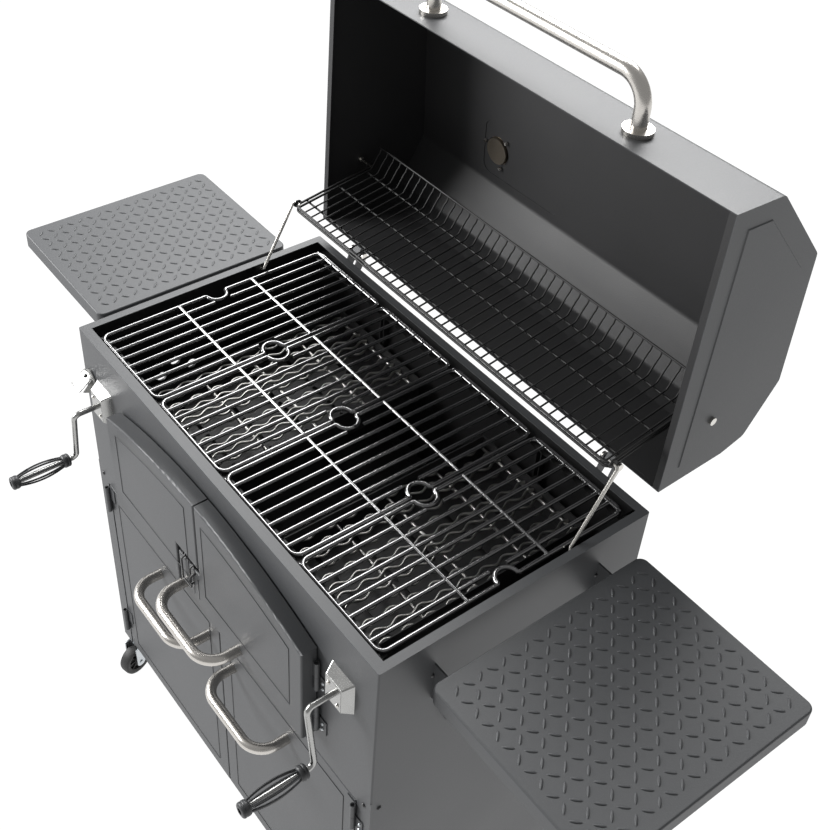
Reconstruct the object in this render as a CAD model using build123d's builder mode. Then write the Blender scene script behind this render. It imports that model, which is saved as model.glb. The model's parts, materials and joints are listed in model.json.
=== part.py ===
"""Free-standing charcoal grill cart with twin crank-lifted charcoal trays, millimetres.

+X is the user's right, the front faces -Y, +Z is up. Z = 0 is the floor and X = 0 is the middle of
the cart. The hood is modelled open, resting on its stop.
"""
import os
from math import atan2, cos, pi, radians, sin

from build123d import *

os.makedirs("parts", exist_ok=True)

# ------------------------------------------------------------------ driving dimensions
WIDTH = 880.0            # fire box and cart, outside
DEPTH = 510.0
RIM = 950.0              # height of the fire box rim
FRONT = -289.55          # Y of the fire box's front face
SHEET = 2.0              # all folded sheet
BOX_HEIGHT = 322.0
CART_BOTTOM = 95.0
FLANGE_FRONT = 18.0      # rim flanges, folded inwards
FLANGE = 15.0

HINGE_BACK = 528.0       # hood hinge axis behind the front face
HINGE_UP = 14.0          # and above the rim
OPEN_ANGLE = 91.4        # how far the hood is open
HINGE_X = 337.0
HINGE_PIN_R = 4.0

SHELF_GAP = 39.0
SHELF_LENGTH = 322.0
SHELF_Y = (56.5, 457.5)
SHELF_TOP = -25.0        # below the rim
SHELF_EDGE = 28.0

GRATE_COUNT = 4
GRATE_WIDTH = 204.0
GRATE_GAP = 2.0
GRATE_DEPTH = 468.0
GRATE_Z = -12.0          # rod centre line below the rim
GRATE_ROD_R = 4.0
GRATE_BAR_R = 3.2
GRATE_CROSS_R = 3.0
GRATE_BARS = 7

CRANK_X = 362.0
CRANK_Z = -118.0
CRANK_ROD_R = 5.0
CRANK_FORWARD = 62.0
CRANK_ARM = (20.0, -114.0)
GRIP_LENGTH = 112.0

PITCH_R = 16.0           # rack and pinion, module 2
TEETH = 16
GEAR_WIDTH = 12.0
GEAR_BACK = 30.0
RACK_TOP = -104.0
RACK_BOTTOM = -200.0

TRAY_X = (90.0, 340.0)
TRAY_Y = (62.0, 490.0)
TRAY_Z = (-160.0, -105.0)
CHARCOAL_BARS = 11

DOOR_ARCH = (-92.0, -47.0)   # charcoal doors: top edge at the outer end and at the middle
DOOR_BOTTOM = -300.0
DOOR_HALF = 300.0
DOOR_DEPTH = 27.0
DOOR_OFF = 3.0               # clearance to the fire box
SEAM = 1.5
LOBE_X = -65.0
LOBE_TOP = -210.0
NOTCH_X = -72.0
NOTCH_TOP = -198.0

CABINET_OUTER = 402.0
CABINET_TOP = -362.0
CABINET_DEPTH = 18.0
CABINET_SILL = 100.0
CART_FLANGE = 34.0

KNUCKLE_R = 4.5
KNUCKLE_PIN_R = 3.0
KNUCKLE_LENGTH = 32.0
KNUCKLE_OUT = 6.0            # pin axis in front of the box's face
FIT = 0.06                   # radial running clearance

HANDLE_SPAN = 170.0
HANDLE_REACH = 62.0
HANDLE_R = 9.5

LINK = (72.0, 130.0)         # rack leg: base to top, back and up
LEG_BASE = (365.0, -12.0)
LEG_X = 418.0
LEG_R = 3.0

WHEEL_R = 37.5
WHEEL_WIDTH = 24.0
CASTER_X = 414.0
CASTER_Y = (27.0, 483.0)
CASTER_TRAIL = 24.0
CASTER_TURN = {"front_left": -165.0, "front_right": -30.0, "back_left": 14.0, "back_right": -12.0}

DAMPER_Y = 180.0
DAMPER_Z = -193.0
DAMPER_HOLES = 5
DAMPER_HOLE_R = 10.0
DAMPER_HOLE_RING = 34.0

CHARCOAL_MOUTH_X = 272.0     # opening in the fire box behind the charcoal doors
CHARCOAL_MOUTH_Z = (-286.0, -98.0)
LEG_BOSS_X = 424.0           # inner face of the bosses that hold the rack legs
BRACKET_END_X = 790.0        # shelf brackets
BRACKET_TIP = 16.0
BRACKET_ROOT = 78.0
GUIDE_Z = (-200.0, -46.0)    # tray guides


# ------------------------------------------------------------------ helpers
def fy(back):
    """Y of a point that lies `back` behind the fire box's front face."""
    return FRONT + back


def rz(up):
    """Z of a point that lies `up` above the rim."""
    return RIM + up


def facing_front(back):
    """Sketch plane in X and Z, normal to the front; positive extrusions go forward."""
    return Plane.XZ.offset(-fy(back))


def block(x, y, z, mode=Mode.ADD):
    """Box between two limits in each axis: x in row X, y behind the front face, z above the rim."""
    size = (x[1] - x[0], y[1] - y[0], z[1] - z[0])
    centre = ((x[0] + x[1]) / 2, fy((y[0] + y[1]) / 2), rz((z[0] + z[1]) / 2))
    with Locations(centre):
        Box(*size, mode=mode)


def rod_x(radius, x, back, up, mode=Mode.ADD):
    """Round rod along X."""
    with Locations(Location(((x[0] + x[1]) / 2, fy(back), rz(up)), (0, 90, 0))):
        Cylinder(radius, x[1] - x[0], mode=mode)


def rod_y(radius, x, back, up, mode=Mode.ADD):
    """Round rod along Y."""
    with Locations(Location((x, fy((back[0] + back[1]) / 2), rz(up)), (90, 0, 0))):
        Cylinder(radius, back[1] - back[0], mode=mode)


def save(builder, name):
    builder.part.label = name
    export_step(builder.part, f"parts/{name}.step")


def bent_rod(points, radius, bend, close=False):
    """Round bar swept along straight runs joined by tangent arcs, inside the current part."""
    with BuildLine() as route:
        FilletPolyline(*points, radius=bend, close=close)
    with BuildSketch(Plane(route.line @ 0, z_dir=route.line % 0)) as section:
        Circle(radius)
    sweep(section.sketch, path=route.line)


open_turn = radians(OPEN_ANGLE)
hood_side = Plane(
    origin=(0, fy(HINGE_BACK), rz(HINGE_UP)),
    x_dir=(0, cos(open_turn), -sin(open_turn)),
    z_dir=(1, 0, 0),
)


# the rack's pivot on the closed hood, from the hinge: the open link turned back by the open angle
RACK_PIVOT = (
    LINK[0] * cos(open_turn) - LINK[1] * sin(open_turn),
    LINK[0] * sin(open_turn) + LINK[1] * cos(open_turn),
)


def hood_plane(x):
    """Sketch plane of the hood's side view: its axes are back and up on the closed hood."""
    return hood_side.offset(x)


def in_hood(back, up):
    """Closed-hood position, from the front face and the rim, in the hood's own sketch axes."""
    return (back - HINGE_BACK, up - HINGE_UP)


def hood_point(x, back, up):
    """Row-frame point of a closed-hood position, with the hood open."""
    return hood_plane(x).from_local_coords(Vector(*in_hood(back, up), 0))


# ------------------------------------------------------------------ fire box
mouth_x = WIDTH / 2 - FLANGE
mouth_y = (FLANGE_FRONT, DEPTH - FLANGE)
inner_x = WIDTH / 2 - SHEET
inner_y = (SHEET, DEPTH - SHEET)

with BuildPart() as fire_box:
    block((-WIDTH / 2, WIDTH / 2), (0, DEPTH), (-BOX_HEIGHT, 0))
    fillet(fire_box.edges().filter_by(Axis.Z), 3)
    block((-inner_x, inner_x), inner_y, (-BOX_HEIGHT + SHEET, -SHEET), Mode.SUBTRACT)
    block((-mouth_x, mouth_x), mouth_y, (-SHEET, 0), Mode.SUBTRACT)
    block((-CHARCOAL_MOUTH_X, CHARCOAL_MOUTH_X), (0, SHEET), CHARCOAL_MOUTH_Z, Mode.SUBTRACT)
    with BuildSketch(Plane.YZ.offset(-WIDTH / 2)):
        with Locations((fy(DAMPER_Y), rz(DAMPER_Z))):
            with PolarLocations(DAMPER_HOLE_RING, DAMPER_HOLES, start_angle=20):
                Circle(DAMPER_HOLE_R)
    extrude(amount=WIDTH, mode=Mode.SUBTRACT)
    for side in (-1, 1):
        rod_y(CRANK_ROD_R + 0.5, side * CRANK_X, (0, SHEET), CRANK_Z, Mode.SUBTRACT)
        wall = sorted((side * LEG_BOSS_X, side * inner_x))
        y0, z0 = LEG_BASE
        block(wall, (y0 - 11, y0 + 11), (z0 - 9, z0 + 9))
        rod_x(LEG_R + FIT, sorted((side * LEG_BOSS_X, side * 437.0)), y0, z0, Mode.SUBTRACT)
        rod_x(4, sorted((side * inner_x, side * 445.5)), DAMPER_Y, DAMPER_Z)
        rod_x(9, sorted((side * 443.8, side * 445.5)), DAMPER_Y, DAMPER_Z)
save(fire_box, "fire_box")

ledge_top = GRATE_Z - GRATE_ROD_R - 0.3
with BuildPart() as grate_ledges:
    for near, far in ((inner_y[0], 36.0), (inner_y[1], DEPTH - 36.0)):
        shelf = sorted((near, far))
        lip = sorted((near, near + (SHEET if far > near else -SHEET)))
        block((-412, 412), shelf, (ledge_top - SHEET, ledge_top))
        block((-412, 412), lip, (ledge_top - 24, ledge_top - SHEET))
save(grate_ledges, "grate_ledges")

# ------------------------------------------------------------------ cart
cart_top = RIM - BOX_HEIGHT


def cart_side(side):
    """Folded side panel with a front and a rear return, from the casters to the fire box."""
    with BuildPart() as panel:
        with BuildSketch(Plane.XY.offset(CART_BOTTOM)):
            with Locations((side * (WIDTH / 2 - SHEET / 2), fy(DEPTH / 2))):
                Rectangle(SHEET, DEPTH)
            with Locations(
                (side * (WIDTH / 2 - CART_FLANGE / 2), fy(SHEET / 2)),
                (side * (WIDTH / 2 - CART_FLANGE / 2), fy(DEPTH - SHEET / 2)),
            ):
                Rectangle(CART_FLANGE, SHEET)
        extrude(amount=cart_top - CART_BOTTOM)
    return panel


save(cart_side(-1), "cart_side_left")
save(cart_side(1), "cart_side_right")

cart_inner = WIDTH / 2 - SHEET
with BuildPart() as cart_back:
    with Locations((0, fy(DEPTH - 1.5 * SHEET), (CART_BOTTOM + SHEET + cart_top) / 2)):
        Box(2 * cart_inner, SHEET, cart_top - CART_BOTTOM - SHEET)
    with GridLocations(60, 0, 5, 1):
        with Locations((0, fy(DEPTH - 1.5 * SHEET), 560)):
            Box(34, SHEET, 8, mode=Mode.SUBTRACT)
save(cart_back, "cart_back")

with BuildPart() as cart_floor:
    with Locations((0, fy(DEPTH / 2), CART_BOTTOM + SHEET / 2)):
        Box(2 * cart_inner, DEPTH - 2 * SHEET, SHEET)
    with Locations((0, fy(24), CART_BOTTOM + SHEET + 14)):
        Box(2 * CABINET_OUTER - 20, SHEET, 28)
save(cart_floor, "cart_floor")

rail_top = (-CABINET_TOP - 4, BOX_HEIGHT)
with BuildPart() as front_rail:
    block((-406, 406), (0, SHEET), (-rail_top[0], -rail_top[1]))
    block((-406, 406), (SHEET, 34), (-rail_top[1] - SHEET, -rail_top[1]))
save(front_rail, "front_rail")


# ------------------------------------------------------------------ side shelves
def side_shelf(side):
    """Pressed shelf with a turned-down edge all round and rounded corners."""
    inner = WIDTH / 2 + SHELF_GAP
    centre = (side * (inner + SHELF_LENGTH / 2), fy(sum(SHELF_Y) / 2))
    length = SHELF_Y[1] - SHELF_Y[0]
    with BuildPart() as shelf:
        with BuildSketch(Plane.XY.offset(rz(SHELF_TOP - SHELF_EDGE))):
            with Locations(centre):
                RectangleRounded(SHELF_LENGTH, length, 14)
        extrude(amount=SHELF_EDGE)
        fillet(shelf.edges().group_by(Axis.Z)[-1], 3)
        with BuildSketch(Plane.XY.offset(rz(SHELF_TOP - SHELF_EDGE))):
            with Locations(centre):
                RectangleRounded(SHELF_LENGTH - 2 * SHEET, length - 2 * SHEET, 12)
        extrude(amount=SHELF_EDGE - SHEET, mode=Mode.SUBTRACT)
    return shelf


save(side_shelf(-1), "side_shelf_left")
save(side_shelf(1), "side_shelf_right")

with BuildPart() as shelf_brackets:
    bracket_top = SHELF_TOP - SHELF_EDGE
    for side in (-1, 1):
        for back in (98.0, 413.0):
            with BuildSketch(facing_front(back)):
                with BuildLine():
                    Polyline(
                        (side * WIDTH / 2, rz(bracket_top)),
                        (side * BRACKET_END_X, rz(bracket_top)),
                        (side * BRACKET_END_X, rz(bracket_top - BRACKET_TIP)),
                        (side * WIDTH / 2, rz(bracket_top - BRACKET_ROOT)),
                        close=True,
                    )
                make_face()
            extrude(amount=-3)
save(shelf_brackets, "shelf_brackets")

# ------------------------------------------------------------------ hood
hood_profile = [
    (14.0, 2.5), (16.0, 98.0), (151.0, 223.0), (391.0, 238.0), (480.0, 186.0), (494.0, 140.0),
    (503.0, 2.5),
]
GAUGE_X = -224.0
GAUGE_BACK = 318.0


def top_facet(back):
    """Height of the hood's top facet at a distance behind the front face."""
    (b0, u0), (b1, u1) = hood_profile[2], hood_profile[3]
    return u0 + (back - b0) * (u1 - u0) / (b1 - b0)


facet_tilt = atan2(hood_profile[3][1] - hood_profile[2][1], hood_profile[3][0] - hood_profile[2][0])


def facet_plane(x, back):
    """Plane on the outside of the top facet: X across, Y back along the facet, Z outwards."""
    out = hood_side.x_dir * -sin(facet_tilt) + hood_side.y_dir * cos(facet_tilt)
    return Plane(hood_point(x, back, top_facet(back)), x_dir=(1, 0, 0), z_dir=out)


def hood_section(inset):
    """Side view of the hood as a closed face, inside the current sketch, drawn in by `inset`."""
    with BuildLine() as profile:
        Polyline(*[in_hood(*p) for p in hood_profile], close=True)
    outline = make_face(profile.line)
    fillet([v for v in outline.vertices() if v.Y > HINGE_UP], 14)
    if inset:
        offset(amount=-inset)


LOGO_X = -159.0
with BuildPart() as hood:
    half = WIDTH / 2
    with BuildSketch(hood_plane(-half)):
        hood_section(0)
    extrude(amount=WIDTH)
    for x, out in ((-half, -1), (half, 1)):
        with BuildSketch(hood_plane(x)):
            hood_section(32)
        extrude(amount=out * 1.5, taper=45)
    with BuildSketch(facet_plane(LOGO_X, GAUGE_BACK)):
        RectangleRounded(206, 112, 22)
    extrude(amount=1.2, taper=45)
    with BuildSketch(hood_plane(-half + SHEET)):
        hood_section(SHEET)
    extrude(amount=WIDTH - 2 * SHEET, mode=Mode.SUBTRACT)
    with BuildSketch(hood_plane(-half + SHEET)):
        with BuildLine():
            Polyline(in_hood(16, 2), in_hood(501, 2), in_hood(501, 9), in_hood(16, 9), close=True)
        make_face()
    extrude(amount=WIDTH - 2 * SHEET, mode=Mode.SUBTRACT)
    with BuildSketch(facet_plane(LOGO_X, GAUGE_BACK).offset(-SHEET)):
        RectangleRounded(202, 108, 20)
    extrude(amount=1.2, mode=Mode.SUBTRACT)
    with BuildSketch(facet_plane(GAUGE_X, GAUGE_BACK).offset(-SHEET - 1)):
        Circle(27)
    extrude(amount=SHEET + 4, mode=Mode.SUBTRACT)
    for x in (-half + SHEET, half - SHEET - 10):
        with BuildSketch(hood_plane(x)):
            with BuildLine():
                Polyline(*[in_hood(*p) for p in ((16, 2.5), (501, 2.5), (501, 4.5), (16, 4.5))], close=True)
            make_face()
        extrude(amount=10)
    with BuildSketch(hood_plane(-half - 2)):
        with Locations(in_hood(HINGE_BACK + RACK_PIVOT[0], HINGE_UP + RACK_PIVOT[1])):
            Circle(LEG_R)
    extrude(amount=WIDTH + 4, mode=Mode.SUBTRACT)
save(hood, "hood")

HOOD_HANDLE_X = 224.0
HOOD_HANDLE_UP = 48.0
HOOD_HANDLE_R = 12.0
HOOD_HANDLE_REACH = 78.0
handle_face = hood_profile[0][0] + 1.0


def hood_front(x, out):
    """Point in front of the closed hood's front facet, at the handle's height."""
    return hood_point(x, handle_face - out, HOOD_HANDLE_UP)


with BuildPart() as hood_handle:
    ends = [(-HOOD_HANDLE_X, 0.6), (-HOOD_HANDLE_X, HOOD_HANDLE_REACH)]
    ends += [(-x, out) for x, out in reversed(ends)]
    bent_rod([hood_front(*p) for p in ends], HOOD_HANDLE_R, 44)
save(hood_handle, "hood_handle")

handle_out = (hood_front(0, 1) - hood_front(0, 0)).normalized()
with BuildPart() as hood_handle_washers:
    for x in (-HOOD_HANDLE_X, HOOD_HANDLE_X):
        with BuildSketch(Plane(hood_front(x, 0.6), x_dir=(1, 0, 0), z_dir=handle_out)):
            Circle(23)
            Circle(HOOD_HANDLE_R, mode=Mode.SUBTRACT)
        extrude(amount=7)
save(hood_handle_washers, "hood_handle_washers")

# ------------------------------------------------------------------ temperature gauge
gauge_face = facet_plane(GAUGE_X, GAUGE_BACK).offset(1.2)
with BuildPart() as gauge_housing:
    with BuildSketch(gauge_face):
        Circle(37)
    extrude(amount=12)
    with BuildSketch(gauge_face):
        Circle(25)
    extrude(amount=-7)
    with BuildSketch(gauge_face.offset(4)):
        Circle(34)
    extrude(amount=8, mode=Mode.SUBTRACT)
    with BuildSketch(gauge_face.offset(4)):
        Circle(2)
    extrude(amount=4)
save(gauge_housing, "gauge_housing")

with BuildPart() as gauge_needle:
    with BuildSketch(gauge_face.offset(5)):
        Circle(4.5)
        with Locations((0, 13)):
            Rectangle(1.8, 26)
        Circle(2 + FIT, mode=Mode.SUBTRACT)
    extrude(amount=1.5)
save(gauge_needle, "gauge_needle")

# ------------------------------------------------------------------ hood hinges
with BuildPart() as hood_hinge_leaves:
    for side in (-1, 1):
        with BuildSketch(hood_plane(side * HINGE_X - 9)):
            with BuildLine():
                Polyline(
                    in_hood(502.6, 18), in_hood(524, 6.5), in_hood(533, 6.5), in_hood(536, 14),
                    in_hood(532, 24), in_hood(500.9, 52), close=True)
            make_face()
            Circle(HINGE_PIN_R + FIT, mode=Mode.SUBTRACT)
        extrude(amount=18)
save(hood_hinge_leaves, "hood_hinge_leaves")

with BuildPart() as box_hinge_leaves:
    for side in (-1, 1):
        x = side * HINGE_X
        block((x - 17, x + 17), (DEPTH, DEPTH + 3), (-44, -4))
        for ear in (x - 14, x + 11):
            with BuildSketch(Plane.YZ.offset(ear)):
                with BuildLine():
                    Polyline(
                        (fy(DEPTH), rz(-40)), (fy(HINGE_BACK + 8), rz(4)),
                        (fy(HINGE_BACK + 8), rz(HINGE_UP + 7)), (fy(HINGE_BACK - 8), rz(HINGE_UP + 7)),
                        (fy(DEPTH), rz(-4)), close=True)
                make_face()
                with Locations((fy(HINGE_BACK), rz(HINGE_UP))):
                    Circle(HINGE_PIN_R, mode=Mode.SUBTRACT)
            extrude(amount=3)
save(box_hinge_leaves, "box_hinge_leaves")

with BuildPart() as hood_hinge_pins:
    for side in (-1, 1):
        x = side * HINGE_X
        rod_x(HINGE_PIN_R, (x - 19, x + 19), HINGE_BACK, HINGE_UP)
        for end in (-1, 1):
            rod_x(7, sorted((x + end * 14.2, x + end * 19)), HINGE_BACK, HINGE_UP)
save(hood_hinge_pins, "hood_hinge_pins")

# ------------------------------------------------------------------ warming rack and its legs
leg_top = (LEG_BASE[0] + LINK[0], LEG_BASE[1] + LINK[1])
rack_pin = (HINGE_BACK + LINK[0], HINGE_UP + LINK[1])
RACK_HALF = 404.0
rack_rise = (rack_pin[1] - leg_top[1]) / (rack_pin[0] - leg_top[0])


def rack_level(back):
    """Height of the rack's wires: the line through its two pivots."""
    return leg_top[1] + rack_rise * (back - leg_top[0])


def rack_leg(side):
    """Wire leg with its two ends bent sideways as pins."""
    with BuildPart() as leg:
        points = [
            (side * 436, fy(LEG_BASE[0]), rz(LEG_BASE[1])),
            (side * LEG_X, fy(LEG_BASE[0]), rz(LEG_BASE[1])),
            (side * LEG_X, fy(leg_top[0]), rz(leg_top[1])),
            (side * 400, fy(leg_top[0]), rz(leg_top[1])),
        ]
        bent_rod(points, LEG_R, 6)
    return leg


save(rack_leg(-1), "rack_leg_left")
save(rack_leg(1), "rack_leg_right")

RACK_WIRES = 21
rack_rear = (rack_pin[0] - 4, rack_pin[0] + 12, rack_pin[0] + 18)
with BuildPart() as warming_rack:
    front = leg_top[0] - 6
    for i in range(RACK_WIRES):
        x = (2 * i / (RACK_WIRES - 1) - 1) * (RACK_HALF - 8)
        points = [
            (x, fy(front - 3), rz(rack_level(front - 3))),
            (x, fy(rack_rear[0]), rz(rack_level(rack_rear[0]))),
            (x, fy(rack_rear[1]), rz(rack_level(rack_rear[1]) + 22)),
            (x, fy(rack_rear[2]), rz(rack_level(rack_rear[2]) + 33)),
        ]
        bent_rod(points, 1.8, 3)
    for back, up in (
        (front, rack_level(front) - 3.4), (front + 28, rack_level(front + 28) - 3.4),
        (front + 95, rack_level(front + 95) - 3.4), (rack_rear[0] - 8, rack_level(rack_rear[0] - 8) - 3.4),
        (rack_rear[2], rack_level(rack_rear[2]) + 33 + 2),
    ):
        rod_x(2.2, (-RACK_HALF, RACK_HALF), back, up)
    for side in (-1, 1):
        with BuildSketch(Plane.YZ.offset(side * (RACK_HALF + 2) - 2)):
            with BuildLine():
                Polyline(
                    (fy(front - 7), rz(rack_level(front - 7) - 7)),
                    (fy(rack_pin[0] + 9), rz(rack_level(rack_pin[0] + 9) - 7)),
                    (fy(rack_pin[0] + 9), rz(rack_level(rack_pin[0] + 9) + 7)),
                    (fy(front - 7), rz(rack_level(front - 7) + 7)),
                    close=True)
            make_face()
            with Locations((fy(leg_top[0]), rz(leg_top[1]))):
                Circle(LEG_R + 0.6, mode=Mode.SUBTRACT)
            with Locations((fy(rack_pin[0]), rz(rack_pin[1]))):
                Circle(LEG_R + FIT, mode=Mode.SUBTRACT)
        extrude(amount=4)
save(warming_rack, "warming_rack")

with BuildPart() as rack_bolts:
    for side in (-1, 1):
        rod_x(LEG_R, sorted((side * 401, side * 446)), *rack_pin)
        rod_x(6.5, sorted((side * 441.6, side * 446)), *rack_pin)
        rod_x(5.5, sorted((side * 434, side * 437.8)), *rack_pin)
save(rack_bolts, "rack_bolts")

# ------------------------------------------------------------------ cooking grates
grate_y = ((mouth_y[0] + mouth_y[1] - GRATE_DEPTH) / 2, (mouth_y[0] + mouth_y[1] + GRATE_DEPTH) / 2)


def cooking_grate(x):
    """Rounded rod frame with bars front to back and cross rods beneath; x is its middle."""
    hx = GRATE_WIDTH / 2 - GRATE_ROD_R
    y0 = grate_y[0] + GRATE_ROD_R
    y1 = grate_y[1] - GRATE_ROD_R
    z = rz(GRATE_Z)
    with BuildPart() as grate:
        corners = [(x + hx, fy(y0), z), (x + hx, fy(y1), z), (x - hx, fy(y1), z), (x - hx, fy(y0), z)]
        bent_rod(corners, GRATE_ROD_R, 16, close=True)
        pitch = 2 * hx / (GRATE_BARS + 1)
        for i in range(GRATE_BARS):
            rod_y(GRATE_BAR_R, x - hx + pitch * (i + 1), (y0, y1), GRATE_Z + 0.4)
        for back in (y0 + (y1 - y0) / 3, y1 - (y1 - y0) / 3):
            rod_x(GRATE_CROSS_R, (x - hx, x + hx), back, GRATE_Z - 1.4)
    return grate


grate_pitch = GRATE_WIDTH + GRATE_GAP
for i in range(GRATE_COUNT):
    middle = (i - (GRATE_COUNT - 1) / 2) * grate_pitch
    save(cooking_grate(middle), f"cooking_grate_{i + 1}")


# ------------------------------------------------------------------ charcoal trays
def charcoal_tray(side):
    """Open tray with a slotted front, its toothed lifting rack and the two guide tabs."""
    xs = sorted((side * TRAY_X[0], side * TRAY_X[1]))
    middle = sum(xs) / 2
    with BuildPart() as tray:
        block(xs, TRAY_Y, TRAY_Z)
        block((xs[0] + SHEET, xs[1] - SHEET), (TRAY_Y[0] + SHEET, TRAY_Y[1] - SHEET),
              (TRAY_Z[0] + SHEET, TRAY_Z[1]), Mode.SUBTRACT)
        with BuildSketch(facing_front(TRAY_Y[0] - 1)):
            with Locations((middle, rz(sum(TRAY_Z) / 2 + 2))):
                with GridLocations(36, 11, 6, 4):
                    SlotOverall(30, 5)
        extrude(amount=-4, mode=Mode.SUBTRACT)
        with BuildSketch(Plane.XY.offset(rz(TRAY_Z[0]))):
            with Locations((middle, fy(sum(TRAY_Y) / 2))):
                with GridLocations(44, 76, 5, 5):
                    SlotOverall(30, 8)
        extrude(amount=SHEET, mode=Mode.SUBTRACT)
        # rack beside the pinion, with its teeth half a pitch off the shaft's height
        back_x = side * (CRANK_X - PITCH_R - 13.5)
        root_x = side * (CRANK_X - PITCH_R - 2.9)
        tip_x = side * (CRANK_X - PITCH_R + 1.5)
        block(sorted((back_x, root_x)), (GEAR_BACK, GEAR_BACK + GEAR_WIDTH), (RACK_BOTTOM, RACK_TOP))
        block(sorted((back_x, back_x + side * 4)), (GEAR_BACK + GEAR_WIDTH, TRAY_Y[0]),
              (RACK_BOTTOM, TRAY_Z[1]))
        step = 2 * pi * PITCH_R / TEETH
        first = int((RACK_BOTTOM - CRANK_Z) / step)
        with BuildSketch(facing_front(GEAR_BACK)):
            for k in range(first, 2):
                z = CRANK_Z + (k + 0.5) * step
                if RACK_BOTTOM + 2 < z < RACK_TOP - 2:
                    with BuildLine():
                        Polyline(
                            (root_x - side * 0.5, rz(z - 1.9)), (tip_x, rz(z - 0.75)),
                            (tip_x, rz(z + 0.75)), (root_x - side * 0.5, rz(z + 1.9)),
                            close=True)
                    make_face()
        extrude(amount=-GEAR_WIDTH)
        block((middle - 2, middle + 2), (20, TRAY_Y[0]), (TRAY_Z[0] + 2, TRAY_Z[1]))
        block((middle - 2, middle + 2), (TRAY_Y[1], 502), (TRAY_Z[0] + 2, TRAY_Z[1]))
    return tray


save(charcoal_tray(-1), "charcoal_tray_left")
save(charcoal_tray(1), "charcoal_tray_right")

with BuildPart() as tray_guides:
    for side in (-1, 1):
        middle = side * sum(TRAY_X) / 2
        for near, far, wall in ((SHEET, 46.0, 0), (496.0, DEPTH - SHEET, 1)):
            for flank in (-1, 1):
                plate = sorted((middle + flank * 4.0, middle + flank * 6.5))
                block(plate, (near, far), GUIDE_Z)
            web = (near, near + SHEET) if wall == 0 else (far - SHEET, far)
            block((middle - 6.5, middle + 6.5), web, GUIDE_Z)
save(tray_guides, "tray_guides")


def charcoal_grate(side):
    """Wire grate lying on ledges in the tray."""
    xs = sorted((side * (TRAY_X[0] + SHEET + 1), side * (TRAY_X[1] - SHEET - 1)))
    ys = (TRAY_Y[0] + SHEET + 1, TRAY_Y[1] - SHEET - 1)
    z = TRAY_Z[0] + 34
    with BuildPart() as grate:
        for back in (ys[0] + 3, 170, 276, 382, ys[1] - 3):
            rod_x(3, xs, back, z)
        for i in range(CHARCOAL_BARS):
            x = xs[0] + 3 + (xs[1] - xs[0] - 6) * i / (CHARCOAL_BARS - 1)
            rod_y(2.6, x, (ys[0], ys[1]), z + 4.4)
    return grate


save(charcoal_grate(-1), "charcoal_grate_left")
save(charcoal_grate(1), "charcoal_grate_right")

with BuildPart() as ash_pans:
    for side in (-1, 1):
        xs = sorted((side * 8.0, side * 424.0))
        block(xs, (66, 488), (-BOX_HEIGHT + SHEET + 0.2, -288))
        block((xs[0] + 1.5, xs[1] - 1.5), (67.5, 486.5), (-BOX_HEIGHT + SHEET + 1.7, -288), Mode.SUBTRACT)
save(ash_pans, "ash_pans")


# ------------------------------------------------------------------ cranks
def crank(side):
    """One bent rod: shaft, arm and spindle."""
    dx, dz = CRANK_ARM
    with BuildPart() as rod:
        points = [
            (side * CRANK_X, fy(50), rz(CRANK_Z)), (side * CRANK_X, fy(-CRANK_FORWARD), rz(CRANK_Z)),
            (side * (CRANK_X + dx), fy(-CRANK_FORWARD), rz(CRANK_Z + dz)),
            (side * (CRANK_X + dx), fy(-CRANK_FORWARD - GRIP_LENGTH - 12), rz(CRANK_Z + dz)),
        ]
        bent_rod(points, CRANK_ROD_R, 11)
    return rod


save(crank(-1), "crank_left")
save(crank(1), "crank_right")


def pinion(side):
    """Toothed wheel pressed on the crank's shaft; one tooth points at the rack."""
    with BuildPart() as wheel:
        with BuildSketch(Plane(
            (side * CRANK_X, fy(GEAR_BACK), rz(CRANK_Z)), x_dir=(-side, 0, 0), z_dir=(0, 1, 0)
        )):
            Circle(PITCH_R - 2.7)
            with PolarLocations(0, TEETH):
                with BuildLine(mode=Mode.PRIVATE) as flank:
                    Polyline(
                        (PITCH_R - 3.2, -1.8), (PITCH_R + 1.4, -0.7), (PITCH_R + 1.4, 0.7),
                        (PITCH_R - 3.2, 1.8), close=True)
                add(make_face(flank.line, mode=Mode.PRIVATE))
            Circle(CRANK_ROD_R, mode=Mode.SUBTRACT)
        extrude(amount=GEAR_WIDTH)
    return wheel


save(pinion(-1), "pinion_left")
save(pinion(1), "pinion_right")


def crank_grip(side):
    """Cage of bowed bars between two collars, turning on the spindle."""
    x = side * (CRANK_X + CRANK_ARM[0])
    z = rz(CRANK_Z + CRANK_ARM[1])
    start = fy(-CRANK_FORWARD - 14)
    with BuildPart() as grip:
        for at in (start, start - GRIP_LENGTH + 16):
            with BuildSketch(Plane.XZ.offset(-at).shift_origin((x, at, z))):
                Circle(12)
                Circle(CRANK_ROD_R + FIT, mode=Mode.SUBTRACT)
            extrude(amount=16)
        for k in range(6):
            turn = k * 60
            radial = Plane((x, start - 8, z), x_dir=(0, -1, 0), z_dir=Vector(0, 0, 1).rotate(Axis.Y, turn))
            with BuildLine(radial) as bow:
                ThreePointArc((0, 8.5), ((GRIP_LENGTH - 16) / 2, 14.5), (GRIP_LENGTH - 16, 8.5))
            with BuildSketch(Plane(bow.line @ 0, z_dir=bow.line % 0)):
                Circle(2)
            sweep(path=bow.line)
    return grip


save(crank_grip(-1), "crank_grip_left")
save(crank_grip(1), "crank_grip_right")

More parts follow.
